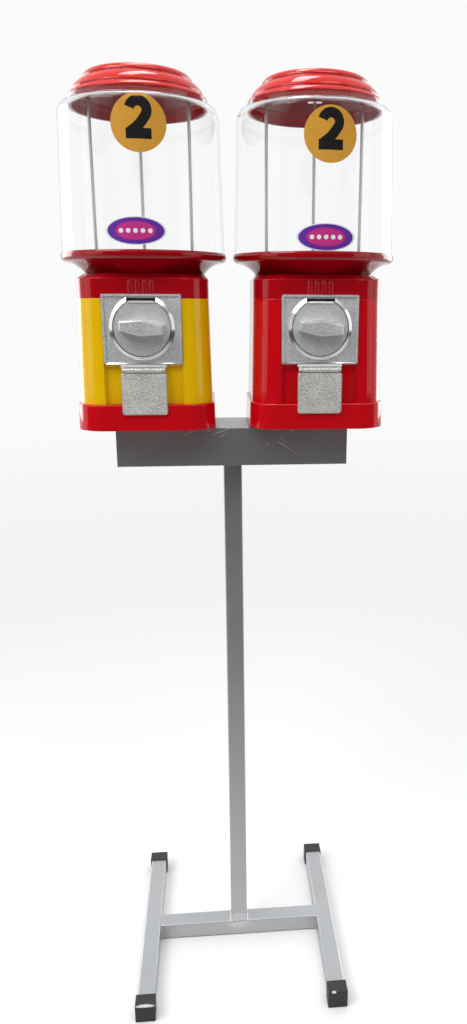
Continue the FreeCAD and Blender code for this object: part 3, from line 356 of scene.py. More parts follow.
def add_values(tree, first, first_out, second, second_out):
    """Sum of two masks, held at one."""
    return combine(tree, "Math", "ADD", first, first_out, second, second_out, use_clamp=True)


def take_from_one(tree, mask, out):
    """The opposite of a mask."""
    node = add_node(tree, "Math", {"operation": "SUBTRACT", "use_clamp": True})
    node.inputs[0].default_value = 1.0
    join(tree, mask, out, node, 1)
    return node


print("helpers for masks are ready")

# %% [markdown]
# Stand paint
#
# The tubes are sprayed in a silver-grey paint that is full of metal flake: it is
# dull where it faces a dark room and light where it mirrors the floor. A shader
# that is mostly metallic gives both. Edges are rubbed a shade lighter, and where
# the post was welded to the crossbar the ground steel shows rough through the
# paint. The header takes a darker copy of the paint, which is painted shade for
# the shadow of the machines above, and it has patches of old scratches and two
# places with fresh ones.

# %% Places of wear on the stand
post_low, post_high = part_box("stand_post")
header_low, header_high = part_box("stand_header")
WELD_PLACE = (middle_x("stand_post"), post_low[1], post_low[2])
WELD_REACH = (0.024, 0.03, 0.02)
# Each scuff has its middle, its reach along the three axes and the turn of its lines
HEADER_SCUFFS = [
    ((80 * MM, header_low[1], header_high[2] - 14 * MM), (0.045, 0.03, 0.03), -0.6),
    ((-20 * MM, header_low[1], header_high[2] - 2 * MM), (0.02, 0.03, 0.012), 0.4),
]
print("ground weld at mm", [round(v / MM) for v in WELD_PLACE])

# %% Stand paint
RUBBED_EDGE = (0.5, 0.5, 0.49)
GROUND_STEEL = (0.68, 0.67, 0.69)
OLD_SCRATCH = (0.62, 0.58, 0.52)
FRESH_SCRATCH = (0.8, 0.78, 0.75)


def scratch_header(tree, shader, color):
    """Patches of old scratches on the header's paint, then fresh ones in their places."""
    lines = place_group(tree, scratches, Turn=0.45, Patch=0.53)
    color = mix_over(tree, shader, color, lines, "Mask", OLD_SCRATCH)
    for center, reach, turn in HEADER_SCUFFS:
        where = place_group(tree, patch, Center=center, Reach=reach, Ragged_Scale=60.0)
        marks = place_group(tree, scratches, Length_Scale=30.0, Width_Scale=320.0, Turn=turn,
                            Patch=0.0, Cut=0.63)
        scuffed = multiply(tree, where, "Mask", marks, "Mask")
        color = mix_over(tree, shader, color, scuffed, "Value", FRESH_SCRATCH)


def make_stand_paint(name, dark, light, scratched):
    """Flake paint between two greys, with rubbed edges, the ground weld and, if asked, scratches."""
    material, tree, shader = new_material(name, light, Metallic=0.8, IOR=1.5)
    speckle = place_group(tree, grain, Fine_Scale=900.0, Broad_Scale=14.0, Broad_Share=0.5)
    wear = place_group(tree, worn_edges, Radius=0.0007, Chip_Scale=160.0, Amount=0.3)
    color = vary_color(tree, shader, speckle, "Value", dark, light)
    color = mix_over(tree, shader, color, wear, "Mask", RUBBED_EDGE)
    ground = place_group(tree, patch, Center=WELD_PLACE, Reach=WELD_REACH, Ragged_Scale=220.0)
    pits = place_group(tree, grain, Fine_Scale=420.0, Broad_Share=0.0, Contrast=4.0)
    rough_steel = multiply(tree, ground, "Mask", pits, "Value")
    color = mix_over(tree, shader, color, rough_steel, "Value", GROUND_STEEL)
    if scratched:
        scratch_header(tree, shader, color)
    vary_roughness(tree, shader, speckle, "Value", low=0.3, high=0.52)
    relief = add_values(tree, speckle, "Height", rough_steel, "Value")
    add_bump(tree, shader, relief, "Value", depth_mm=0.06, normal=wear)
    return material


stand_paint = make_stand_paint("stand_paint_grey", (0.385, 0.39, 0.395), (0.55, 0.555, 0.565), False)
# The header's darker copy of the paint is painted shade for the shadow of the machines above
header_shade_paint = make_stand_paint("header_shade_paint_grey", (0.35, 0.352, 0.36), (0.52, 0.522, 0.53), True)
print("paints", stand_paint.name, header_shade_paint.name)

# %% [markdown]
# Gloss plastic
#
# The red and yellow housings are moulded in a hard gloss plastic. Its colour is
# deep and even, and it is the reflections that show the form. A low roughness with
# faint smears, soft edges and a very shallow broad bump for the moulding are all it
# needs. The lids show their undersides through the clear neck, and their finish
# paints shade there: faces that look down take a second, duller red.

# %% Gloss plastics
# Painted shade on faces that look down, from this tilt of the normal to full
SHADE_BELOW_FROM = 0.3
SHADE_BELOW_FULL = -0.2


def paint_shade_below(tree, shader, color, under):
    """Lays a painted shade colour over faces that look down, by how far their normal points up."""
    surface = add_node(tree, "NewGeometry")
    split = add_node(tree, "SeparateXYZ")
    join(tree, surface, "True Normal", split, "Vector")
    below = ramp(tree, split, "Z", SHADE_BELOW_FROM, SHADE_BELOW_FULL)
    mix_over(tree, shader, color, below, "Result", under)


def make_gloss(name, deep, bright, under=None):
    """Gloss plastic; faces that look down take the painted shade colour under, where one is given."""
    material, tree, shader = new_material(name, bright, IOR=1.49)
    edges = place_group(tree, worn_edges, Radius=0.0014)
    smears = place_group(tree, grain, Fine_Scale=260.0, Broad_Scale=22.0, Broad_Share=0.75)
    color = vary_color(tree, shader, smears, "Value", deep, bright)
    if under:
        paint_shade_below(tree, shader, color, under)
    vary_roughness(tree, shader, smears, "Value", low=0.02, high=0.1)
    add_bump(tree, shader, smears, "Value", depth_mm=0.012, normal=edges)
    return material


red_plastic = make_gloss("red_gloss", (0.54, 0.0, 0.004), (0.66, 0.002, 0.01))
# The shoulders' deeper red is painted shade under the flange
shoulder_shaded_red = make_gloss("shoulder_shaded_red_gloss", (0.38, 0.0, 0.004), (0.48, 0.002, 0.01))
hopper_red = make_gloss("deep_red_gloss", (0.3, 0.0, 0.004), (0.38, 0.002, 0.008))
# The lids' duller red for faces that look down is painted shade
lid_red = make_gloss("lid_red_gloss", (0.6, 0.004, 0.0), (0.74, 0.012, 0.004), (0.3, 0.012, 0.018))
yellow_plastic = make_gloss("yellow_gloss", (0.8, 0.46, 0.0), (0.91, 0.56, 0.002))
print("plastics", [m.name for m in (red_plastic, shoulder_shaded_red, hopper_red, lid_red, yellow_plastic)])

# %% [markdown]
# Clear globe
#
# The globe is a blown shell of clear plastic. It is a closed solid with a real
# wall, so a plain transmission shader bends light as the real one does. Faint
# scuffs in the roughness keep it from being perfect.

# %% Clear plastic
def make_clear():
    """Clear plastic with faint scuffs."""
    material, tree, shader = new_material("clear_globe", (0.99, 0.995, 0.995), IOR=1.35,
                                          Transmission_Weight=1.0)
    scuffs = place_group(tree, scratches, Length_Scale=20.0, Width_Scale=900.0, Turn=1.1, Patch=0.5)
    vary_roughness(tree, shader, scuffs, "Mask", low=0.0, high=0.12)
    return material


clear_plastic = make_clear()
print("clear", clear_plastic.name)

# %% [markdown]
# Bright bevels
#
# After casting, the sloping edges of the coin plate, the handle and the door were
# machined smooth, so they mirror the room. A bevel is a face that looks along none
# of the three axes, so the largest share of its normal tells it from the flat faces.

# %% Bevel group
def make_bright_bevels():
    tree, start, end = new_group("bright_bevels", {"Flat From": 0.93}, {"Mask": "Float"})
    surface = add_node(tree, "NewGeometry")
    shares = add_node(tree, "VectorMath", {"operation": "ABSOLUTE"})
    join(tree, surface, "True Normal", shares, 0)
    split = add_node(tree, "SeparateXYZ")
    join(tree, shares, "Vector", split, "Vector")
    larger = combine(tree, "Math", "MAXIMUM", split, "X", split, "Y")
    largest = combine(tree, "Math", "MAXIMUM", larger, "Value", split, "Z")
    sloped = combine(tree, "Math", "LESS_THAN", largest, "Value", start, "Flat From")
    join(tree, sloped, "Value", end, "Mask")
    return tree


bright_bevels = make_bright_bevels()
print("group", bright_bevels.name)

# %% [markdown]
# Cast zinc
#
# The coin plate and its disc are die-cast zinc with a fine sandy grain, and the
# chute door is the same metal with a coarse hammered face. The grain is a noise.
# The hammering is a cell texture, because its dimples have clear borders.

# %% Zinc of the coin plates
def make_zinc():
    """Sandy zinc with worn edges and smooth bevels."""
    material, tree, shader = new_material("zinc_grain", (0.55, 0.56, 0.57), Metallic=0.7)
    sand = place_group(tree, grain, Fine_Scale=760.0, Broad_Scale=30.0, Broad_Share=0.15, Contrast=2.6)
    wear = place_group(tree, worn_edges, Radius=0.0007, Chip_Scale=200.0, Amount=0.9)
    bevels = place_group(tree, bright_bevels)
    color = vary_color(tree, shader, sand, "Value", (0.45, 0.46, 0.47), (0.97, 0.98, 0.99))
    color = mix_over(tree, shader, color, wear, "Mask", (0.85, 0.85, 0.84))
    mix_over(tree, shader, color, bevels, "Mask", (0.55, 0.55, 0.54))
    rough = vary_roughness(tree, shader, sand, "Value", low=0.5, high=0.68)
    polish_where(tree, shader, rough, bevels, low=0.28)
    add_bump(tree, shader, sand, "Height", depth_mm=0.25, normal=wear)
    return material


zinc = make_zinc()
print("zinc", zinc.name)

# %% Zinc of the doors
def make_hammered():
    """Zinc with hammered dimples, a worn rim and smooth bevels."""
    material, tree, shader = new_material("zinc_hammered", (0.6, 0.6, 0.58), Metallic=0.5)
    place = add_node(tree, "TexCoord")
    dimples = add_node(tree, "TexVoronoi", {"feature": "SMOOTH_F1"}, Scale=620.0, Smoothness=0.4)
    join(tree, place, "Object", dimples, "Vector")
    sand = place_group(tree, grain, Fine_Scale=620.0, Broad_Scale=60.0, Broad_Share=0.15, Contrast=4.4)
    rim = place_group(tree, worn_edges, Radius=0.0011, Chip_Scale=90.0, Amount=0.9)
    bevels = place_group(tree, bright_bevels, Flat_From=0.78)
    color = vary_color(tree, shader, sand, "Value", (0.46, 0.44, 0.415), (1.0, 0.98, 0.95))
    color = mix_over(tree, shader, color, rim, "Mask", (1.0, 0.99, 0.97))
    mix_over(tree, shader, color, bevels, "Mask", (0.5, 0.49, 0.47))
    rough = vary_roughness(tree, shader, sand, "Value", low=0.45, high=0.65)
    polish_where(tree, shader, rough, bevels, low=0.3)
    add_bump(tree, shader, dimples, "Distance", depth_mm=0.3, normal=rim)
    return material


zinc_door = make_hammered()
print("zinc", zinc_door.name)

# %% [markdown]
# Bright metal, black caps and white plastic
#
# The bezel is polished and the rods are plated steel, both with a fine grain. The
# end caps are black and moulded, and the front ones have pale patches on top that
# are partly scuffs and partly a painted highlight of their edges. The chute, the
# wheel and what is around it are a plain white moulding.

# %% Metals
def make_metal(name, dark, light, low, high, fine):
    """Metal with a grain of a given fine scale, and a roughness between low and high."""
    material, tree, shader = new_material(name, light, Metallic=1.0)
    grit = place_group(tree, grain, Fine_Scale=fine, Broad_Scale=50.0, Broad_Share=0.5)
    vary_color(tree, shader, grit, "Value", dark, light)
    vary_roughness(tree, shader, grit, "Value", low, high)
    add_bump(tree, shader, grit, "Height", depth_mm=0.01)
    return material


chrome = make_metal("polished_bezel", (0.74, 0.73, 0.7), (0.9, 0.89, 0.86),
                    low=0.08, high=0.22, fine=800.0)
steel_rod = make_metal("plated_steel", (0.4, 0.39, 0.38), (0.62, 0.61, 0.6),
                       low=0.3, high=0.45, fine=1400.0)
print("metals", chrome.name, steel_rod.name)

# %% Dull mouldings
# Pale patches on the front caps' top edges: partly scuffs, partly painted highlights of the edge
PALE_SCUFF_HIGHLIGHT = (0.75, 0.76, 0.78)
cap_low, cap_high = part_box("foot_caps")
SCUFF_HIGHLIGHT_HEIGHT = cap_high[2] - 1 * MM
# Each pale patch, partly scuff and partly painted highlight, has its middle and its reach along the three
# axes
CAP_SCUFF_HIGHLIGHTS = [
    ((middle_x("stand_foot_left"), cap_low[1], SCUFF_HIGHLIGHT_HEIGHT), (0.017, 0.005, 0.002)),
    ((middle_x("stand_foot_right") - 6 * MM, cap_low[1], SCUFF_HIGHLIGHT_HEIGHT), (0.004, 0.004, 0.002)),
]


def make_dull(name, dark, light, worn, low, high, scuffs=()):
    """Moulded finish with worn edges, and pale patches where they are given: partly scuffs, partly painted
    highlights.
    """
    material, tree, shader = new_material(name, light, IOR=1.48)
    dust = place_group(tree, grain, Fine_Scale=700.0, Broad_Scale=45.0, Broad_Share=0.55)
    wear = place_group(tree, worn_edges, Radius=0.0012, Chip_Scale=120.0, Amount=0.5)
    color = vary_color(tree, shader, dust, "Value", dark, light)
    color = mix_over(tree, shader, color, wear, "Mask", worn)
    # Each pale patch is partly a scuff and partly a painted highlight
    for center, reach in scuffs:
        pale = place_group(tree, patch, Center=center, Reach=reach)
        color = mix_over(tree, shader, color, pale, "Mask", PALE_SCUFF_HIGHLIGHT)
    vary_roughness(tree, shader, dust, "Value", low, high)
    add_bump(tree, shader, dust, "Height", depth_mm=0.06, normal=wear)
    return material


black_rubber = make_dull("black_cap", (0.01, 0.011, 0.013), (0.026, 0.03, 0.034),
                         worn=(0.004, 0.004, 0.004), low=0.45, high=0.65, scuffs=CAP_SCUFF_HIGHLIGHTS)
white_plastic = make_dull("white_moulding", (0.7, 0.7, 0.68), (0.82, 0.82, 0.8),
                          worn=(0.85, 0.85, 0.83), low=0.4, high=0.55)
print("mouldings", black_rubber.name, white_plastic.name)

# %% [markdown]
# Give every CAD node its finish
#
# The record says which material slot each node takes. The finishes are assigned
# by that name, so a node that is added or renamed in the CAD still gets one. A few
# nodes differ: the header's paint is a darker copy, painted shade for the shadow
# of the machines, and it is scratched; the lids have a brighter red; the shoulders
# under the globes take a deeper red as painted shade under the flanges, and the
# hoppers a deeper red still.

# %% Assign the finishes
finish_of_slot = {
    "stand_paint": stand_paint, "black_rubber": black_rubber, "red_plastic": red_plastic,
    "yellow_plastic": yellow_plastic, "clear_plastic": clear_plastic, "white_plastic": white_plastic,
    "steel_rod": steel_rod, "zinc": zinc, "zinc_door": zinc_door, "chrome": chrome,
}
# The header's darker paint is painted shade under the machines
own_finish = {"stand_header": header_shade_paint}
for side in SIDES:
    own_finish[side + "_lid"] = lid_red
    own_finish[side + "_hopper"] = hopper_red
    # The shoulders take a deeper red as painted shade under the flange
    own_finish[side + "_body_top"] = shoulder_shaded_red
for name, node in nodes.items():
    finish = own_finish.get(name, finish_of_slot[slot_of_node[name]])
    if not node.material_slots:
        node.data.materials.append(finish)
    for material_slot in node.material_slots:
        material_slot.material = finish
print("finishes on", len(nodes), "nodes")

# %% [markdown]
# Stickers on the globes
#
# Each globe carries an orange price disc and a small oval label. They are thin
# printed sheets that follow the plastic, so their points are worked out on a flat
# sheet and then dropped straight back onto the globe's own mesh with a ray. A
# shrinkwrap modifier could do the same, but rays keep the outline exact.

# %% Rays onto the front of a node
FAR_FRONT = -1.0
BACKWARDS = Vector((0, 1, 0))


def surface_of(name):
    """A CAD node's mesh as a tree that rays can hit."""
    return BVHTree.FromObject(nodes[name], bpy.context.evaluated_depsgraph_get())


def front_hit(surface, x, z):
    """First point of a surface that is met going straight back from the front, and its normal."""
    hit, normal, _, _ = surface.ray_cast(Vector((x, FAR_FRONT, z)), BACKWARDS)
    return hit, normal


globe_surface = {side: surface_of(side + "_globe") for side in SIDES}
globe_axis = {side: middle_x(side + "_globe") for side in SIDES}
base_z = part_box("left_base")[0][2]


def on_globe(side, across, up, lift):
    """Point of the globe's front at a place across and up (metres), lifted off the surface."""
    hit, normal = front_hit(globe_surface[side], globe_axis[side] + across, base_z + up)
    return hit + normal * lift


print("globe axes at mm", [round(globe_axis[side] / MM, 1) for side in SIDES])

# %% [markdown]
# Rows of points
#
# Every piece that is added here is a grid: rows of points, joined into faces. A row
# is an open line, as across a stroke, or a closed ring, as around a weld. One helper
# makes the mesh, gives it its finish and says which body carries it.

# %% Pieces from rows of points
def grid_faces(row_count, count, closed, capped):
    """Faces between rows of points; closed rows are rings, and their ends may be capped."""
    steps = count if closed else count - 1
    faces = []
    for r in range(row_count - 1):
        for c in range(steps):
            d = (c + 1) % count
            faces.append((r * count + c, r * count + d, (r + 1) * count + d, (r + 1) * count + c))
    if capped:
        last = (row_count - 1) * count
        faces.append(tuple(range(count))[::-1])
        faces.append(tuple(range(last, last + count)))
    return faces


def grid_piece(name, rows, closed, material, body, smooth=False, capped=False):
    """Piece from rows of points that rides on a body."""
    mesh = bpy.data.meshes.new(name)
    faces = grid_faces(len(rows), len(rows[0]), closed, capped)
    mesh.from_pydata([point for row in rows for point in row], [], faces)
    mesh.polygons.foreach_set("use_smooth", [smooth] * len(faces))
    mesh.materials.append(material)
    piece = bpy.data.objects.new(name, mesh)
    bpy.context.collection.objects.link(piece)
    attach(piece, body)
    return piece


print("helpers for pieces are ready")

# %% Sheets on a globe
PAPER = 0.2 * MM
OVAL_RINGS = 10
OVAL_POINTS = 72
INNER_SHARE = 0.02


def thicken(piece, thickness):
    """Gives a sheet its thickness, outwards."""
    solid = piece.modifiers.new("paper", "SOLIDIFY")
    solid.thickness = thickness
    solid.offset = 1.0


def oval_sheet(name, side, place, half_width, half_height, layer, material):
    """Oval sticker made of rings from a small middle ring out to its edge."""
    rows = []
    for r in range(OVAL_RINGS + 1):
        share = INNER_SHARE + (1 - INNER_SHARE) * r / OVAL_RINGS
        row = []
        for k in range(OVAL_POINTS):
            turn = 2 * math.pi * k / OVAL_POINTS
            across = place[0] + half_width * share * math.cos(turn)
            up = place[1] + half_height * share * math.sin(turn)
            row.append(on_globe(side, across, up, layer * PAPER))
        rows.append(row)
    piece = grid_piece(name, rows[::-1], True, material, "stand")
    thicken(piece, PAPER)


print("paper", PAPER / MM, "mm thick")

# %% [markdown]
# Printed papers
#
# The discs are a matt orange paper with a black numeral, the labels violet, magenta
# and white. Print is flat colour, so the only variation is a slight mottling of the
# ink and its sheen.

# %% Sticker inks
def make_ink(name, dark, light):
    """Flat ink, mottled between two tones."""
    material, tree, shader = new_material(name, light, Specular_IOR_Level=0.2)
    mottle = place_group(tree, grain, Fine_Scale=900.0, Broad_Scale=70.0, Broad_Share=0.6)
    vary_color(tree, shader, mottle, "Value", dark, light)
    vary_roughness(tree, shader, mottle, "Value", low=0.4, high=0.6)
    return material


orange_ink = make_ink("orange_ink", (0.6, 0.28, 0.03), (0.72, 0.36, 0.045))
black_ink = make_ink("black_ink", (0.006, 0.005, 0.005), (0.014, 0.012, 0.012))
violet_ink = make_ink("violet_ink", (0.1, 0.02, 0.3), (0.15, 0.035, 0.4))
magenta_ink = make_ink("magenta_ink", (0.5, 0.02, 0.2), (0.62, 0.04, 0.27))
white_ink = make_ink("white_ink", (0.78, 0.8, 0.84), (0.88, 0.89, 0.92))
print("inks", [m.name for m in (orange_ink, black_ink, violet_ink, magenta_ink, white_ink)])

# %% Price discs
DISC_RADIUS = 30.5 * MM
DISC_PLACE = {"left": (6.6 * MM, 345.7 * MM), "right": (6.9 * MM, 338.4 * MM)}
DISC_LAYER = 1
for side in SIDES:
    oval_sheet(side + "_price_disc", side, DISC_PLACE[side], DISC_RADIUS, DISC_RADIUS,
               DISC_LAYER, orange_ink)
print("discs", 2 * DISC_RADIUS / MM, "mm across")

# %% [markdown]
# The numeral
#
# A plain bold numeral marks the price. A text object would need a font, so it is
# drawn as two broad ribbons of one width: an arc over the top that sweeps down to
# the left, and a bar along the foot. The bar lies a little higher than the stroke
# where they cross, so that the two sheets don't share a surface.

# %% Lines of the numeral
NUMERAL_HEIGHT = 44.5 * MM
STROKE_HALF = 5.5 * MM
BOWL_RADIUS = 9.6 * MM
BOWL_POINTS = 19
BOWL_FROM_DEGREES = 165
BOWL_STEP_DEGREES = 11.4
SWEEP_STEPS = 8
SWEEP_SAG = Vector((1.2 * MM, -1.0 * MM))
CORNER_OUT = BOWL_RADIUS * 0.95
CORNER_UP = STROKE_HALF * 1.3
BAR_HALF = 14 * MM
BAR_STEPS = 8


def stroke_line():
    """Points of the stroke's middle line, from its upper left tip to its lower left corner."""
    top = NUMERAL_HEIGHT / 2 - STROKE_HALF - BOWL_RADIUS
    points = []
    for k in range(BOWL_POINTS):
        turn = math.radians(BOWL_FROM_DEGREES - k * BOWL_STEP_DEGREES)
        points.append(Vector((BOWL_RADIUS * math.cos(turn), top + BOWL_RADIUS * math.sin(turn))))
    corner = Vector((-CORNER_OUT, -NUMERAL_HEIGHT / 2 + CORNER_UP))
    tip = points[-1]
    for k in range(1, SWEEP_STEPS + 1):
        share = k / SWEEP_STEPS
        points.append(tip.lerp(corner, share) + SWEEP_SAG * math.sin(math.pi * share))
    return points


def foot_line():
    """Points of the foot bar's middle line, from left to right."""
    foot = -NUMERAL_HEIGHT / 2 + STROKE_HALF
    return [Vector((-BAR_HALF + 2 * BAR_HALF * k / BAR_STEPS, foot)) for k in range(BAR_STEPS + 1)]


print("numeral lines of", len(stroke_line()), "and", len(foot_line()), "points")

# %% Numerals on the discs
NUMERAL_LIFT = 5.8 * MM
ACROSS_STROKE = (-1, -0.5, 0, 0.5, 1)
STROKE_LAYER = 2.2
FOOT_LAYER = 2.9


def ribbon(points):
    """Rows of points across a line, from one edge of a flat stroke to the other."""
    rows = []
    for k, point in enumerate(points):
        ahead = points[min(k + 1, len(points) - 1)] - points[max(k - 1, 0)]
        across = Vector((-ahead.y, ahead.x)).normalized() * STROKE_HALF
        rows.append([point + across * share for share in ACROSS_STROKE])
    return rows


def numeral(side):
    """Stroke and foot of the numeral on one disc."""
    place = DISC_PLACE[side]
    for part, points, layer in (("stroke", stroke_line(), STROKE_LAYER), ("foot", foot_line(), FOOT_LAYER)):
        rows = [[on_globe(side, place[0] + p.x, place[1] + NUMERAL_LIFT + p.y, layer * PAPER) for p in row]
                for row in ribbon(points)]
        piece = grid_piece(side + "_price_" + part, rows, False, black_ink, "stand")
        thicken(piece, PAPER / 2)


for side in SIDES:
    numeral(side)
print("numerals", NUMERAL_HEIGHT / MM, "mm high")

# %% [markdown]
# Oval labels
#
# Low on each globe is a small oval label. It gets a plain decoration of its own: a
# white edge, a violet field, a magenta middle and a row of white dots. Each is a
# smaller sheet that lies on the one before.

# %% Labels
LABEL_PLACE = {"left": (-1.0 * MM, 232.5 * MM), "right": (2.7 * MM, 227.7 * MM)}
LABEL_HALF = (34.5 * MM, 15.5 * MM)
# Each sheet has its name, its share of the label's size, its layer, its ink and its slot
LABEL_SHEETS = [
    ("edge", 1.0, 1, white_ink, "white_plastic"),
    ("field", 0.93, 2.2, violet_ink, "red_plastic"),
    ("middle", 0.66, 3.4, magenta_ink, "red_plastic"),
]
DOTS = 5
DOT_PITCH = 8.2 * MM
DOT_RADIUS = 2.6 * MM
DOT_LAYER = 4.6
for side in SIDES:
    place = LABEL_PLACE[side]
    for part, share, layer, ink, slot in LABEL_SHEETS:
        oval_sheet(side + "_label_" + part, side, place, LABEL_HALF[0] * share, LABEL_HALF[1] * share,
                   layer, ink)
    for k in range(DOTS):
        dot_place = (place[0] + (k - (DOTS - 1) / 2) * DOT_PITCH, place[1])
        oval_sheet(side + "_label_dot_%d" % (k + 1), side, dot_place, DOT_RADIUS, DOT_RADIUS,
                   DOT_LAYER, white_ink)
print("labels", [round(2 * v / MM) for v in LABEL_HALF], "mm")

# %% [markdown]
# Bright strips
#
# Below each coin slot the turning disc ends in a narrow polished strip. It is a wedge
# that faces up a little, so it mirrors the light from above. It lies along the disc's
# flat, widens downwards with the disc, and rides on the knob so that it turns with it.

# %% Strips below the coin slots
STRIP_HEIGHT = 2.2 * MM
STRIP_TOP_HALF = 13.5 * MM
STRIP_LOW_HALF = 16.0 * MM
STRIP_PROUD = 1.0 * MM
STRIP_SUNK = 0.4 * MM


def slot_strip(side):
    """Polished wedge along the flat of one disc."""
    middle = middle_x(side + "_knob")
    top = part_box(side + "_knob")[1][2]
    under = top - STRIP_HEIGHT
    face = front_hit(surface_of(side + "_knob"), middle, under)[0].y
    section = [(face + STRIP_SUNK, under, STRIP_LOW_HALF), (face - STRIP_PROUD, under, STRIP_LOW_HALF),
               (face - STRIP_SUNK / 2, top, STRIP_TOP_HALF), (face + STRIP_SUNK, top, STRIP_TOP_HALF)]
    rows = [[Vector((middle + end * half, y, z)) for y, z, half in section] for end in (-1, 1)]
    return grid_piece(side + "_slot_strip", rows, True, chrome, side + "_knob_body", capped=True)


strips = [slot_strip(side) for side in SIDES]
print("strips", [strip.name for strip in strips])

# %% [markdown]
# Lips of the coin plates
#
# The coin plate ends below in a narrow raised edge, and the tab between it and the
# door slopes outwards. Both are wedges that face up, as the strips do, so they catch
# the light. Their places come from the ring, the plate's rim and the top of the door.

# %% Lips below the coin plates
PLATE_BELOW_RING = 5.4 * MM
PLATE_RIM = 2.6 * MM
PLATE_BEVEL = 1.6 * MM
LIP_HEIGHT = 1.2 * MM
LIP_PROUD = 1.2 * MM
TAB_PROUD = 1.8 * MM
LIP_SUNK = 0.4 * MM


def wedge_lip(name, ends, face, under, top, proud, finish):
    """Wedge on an upright face that is proud of it below and level with it above."""
    section = [(face + LIP_SUNK, under), (face - proud, under), (face, top), (face + LIP_SUNK, top)]
    rows = [[Vector((x, y, z)) for y, z in section] for x in ends]
    grid_piece(name, rows, True, finish, "stand", capped=True)


def plate_lips(side):
    """Lip and tab of one coin plate; gives the tab's height in millimetres."""
    plate_low, plate_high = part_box(side + "_mech_plate")
    door_low, door_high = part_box(side + "_door")
    ends = (plate_low[0] + PLATE_RIM, plate_high[0] - PLATE_RIM)
    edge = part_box(side + "_mech_ring")[0][2] - PLATE_BELOW_RING + PLATE_BEVEL
    face = front_hit(surface_of(side + "_mech_plate"), ends[0] + PLATE_RIM, edge + LIP_HEIGHT)[0].y
    tab_ends = (door_low[0], door_high[0])
    tab_low = door_high[2] + LIP_SUNK
    wedge_lip(side + "_plate_lip", ends, face, edge, edge + LIP_HEIGHT, LIP_PROUD, chrome)
    wedge_lip(side + "_plate_tab", tab_ends, face, tab_low, edge, TAB_PROUD, zinc)
    return (edge - tab_low) / MM


print("tabs", [round(plate_lips(side), 1) for side in SIDES], "mm high")

# %% [markdown]
# Welds
#
# The tubes are welded to each other. A bead is a rippled rope of metal in the corner
# between two tubes: rings along a straight line, with a radius that ripples and that
# shrinks at both ends. Under the post the front is ground flat, so the beads are on
# its other three sides. The crossbar has one at each end, in front and behind.

# %% A weld bead
BEAD = 1.9 * MM
BEAD_ROWS = 30
BEAD_POINTS = 12
END_SHARE = 0.3
END_BLUNTNESS = 0.3
RIPPLES = 7
RIPPLE_DEPTH = 0.1


def weld_bead(name, start, end):
    """Rippled bead from one point to another."""
    along = (end - start).normalized()
    side = along.orthogonal().normalized()
    other = along.cross(side)
    turns = [2 * math.pi * k / BEAD_POINTS for k in range(BEAD_POINTS)]
    ring = [side * math.cos(turn) + other * math.sin(turn) for turn in turns]
    rows = []
    for r in range(BEAD_ROWS + 1):
        share = r / BEAD_ROWS
        rounded = END_SHARE + (1 - END_SHARE) * math.sin(math.pi * share) ** END_BLUNTNESS
        ripple = 1 + RIPPLE_DEPTH * math.sin(2 * math.pi * RIPPLES * share)
        middle = start.lerp(end, share)
        rows.append([middle + point * BEAD * rounded * ripple for point in ring])
    grid_piece(name, rows, True, stand_paint, "stand", smooth=True, capped=True)


print("beads of", 2 * BEAD / MM, "mm")

# %% Beads on the stand
def box_corners(low, high, z):
    """Corners of a box at one height: front left, front right, back right, back left."""
    places = ((low[0], low[1]), (high[0], low[1]), (high[0], high[1]), (low[0], high[1]))
    return [Vector((x, y, z)) for x, y in places]


bar_low, bar_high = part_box("stand_crossbar")
foot_corners = box_corners(post_low, post_high, post_low[2])
for k, part in ((1, "right"), (2, "back"), (3, "left")):
    weld_bead("weld_post_" + part, foot_corners[k], foot_corners[(k + 1) % len(foot_corners)])
for x, part in ((bar_low[0], "left"), (bar_high[0], "right")):
    for y, face in ((bar_low[1], "front"), (bar_high[1], "back")):
        weld_bead("weld_bar_%s_%s" % (part, face), Vector((x, y, bar_low[2])), Vector((x, y, bar_high[2])))

# %% [markdown]
# Studio
#
# The photo is a bright product shot: a white floor that runs into a pale
# background, light from above and the sides, and a dimmer room behind the camera.
# That dim front is what gives gloss and metal their dark parts. Reflections get all
# of it, soft light a part, and what the camera sees, also through glass, none.

# %% Share of the dim front that each kind of ray gets
SOFT_DIM = 0.7


def seen_rays(tree, rays):
    """Rays of what the camera sees, straight or through glass."""
    return add_values(tree, rays, "Is Camera Ray", rays, "Is Transmission Ray")


def front_share(tree, rays, seen):
    """All of the dim front for reflections, a part of it for soft light and none for what is seen."""
    share = ramp(tree, rays, "Is Glossy Ray", 0.0, 1.0, SOFT_DIM, 1.0)
    return multiply(tree, share, "Result", take_from_one(tree, seen, "Value"), "Value")


print("soft light gets", SOFT_DIM, "of the dim front")

# %% [markdown]
# Floor
#
# The floor is a real surface, so it keeps a soft shadow around the object. Further
# out it turns into an even paper that glows by itself: a pale grey near the object
# and almost white far away. The camera sees that paper, and reflections show it
# behind the object. In front of the object they show a dim floor instead.

# %% Floor finish
FLOOR_WHITE = (0.93, 0.93, 0.93)
FLOOR_DIM = (0.06, 0.06, 0.06)
DIM_FROM_Y = 0.0
DIM_FULL_Y = -1.1
PAPER_FROM = 0.5
PAPER_FULL = 1.6
PALE_FROM = 1.2
PALE_FULL = 6.0
MIDDLE_PALE = 0.89
BACKDROP = 0.96
SMOOTH = "SMOOTHSTEP"


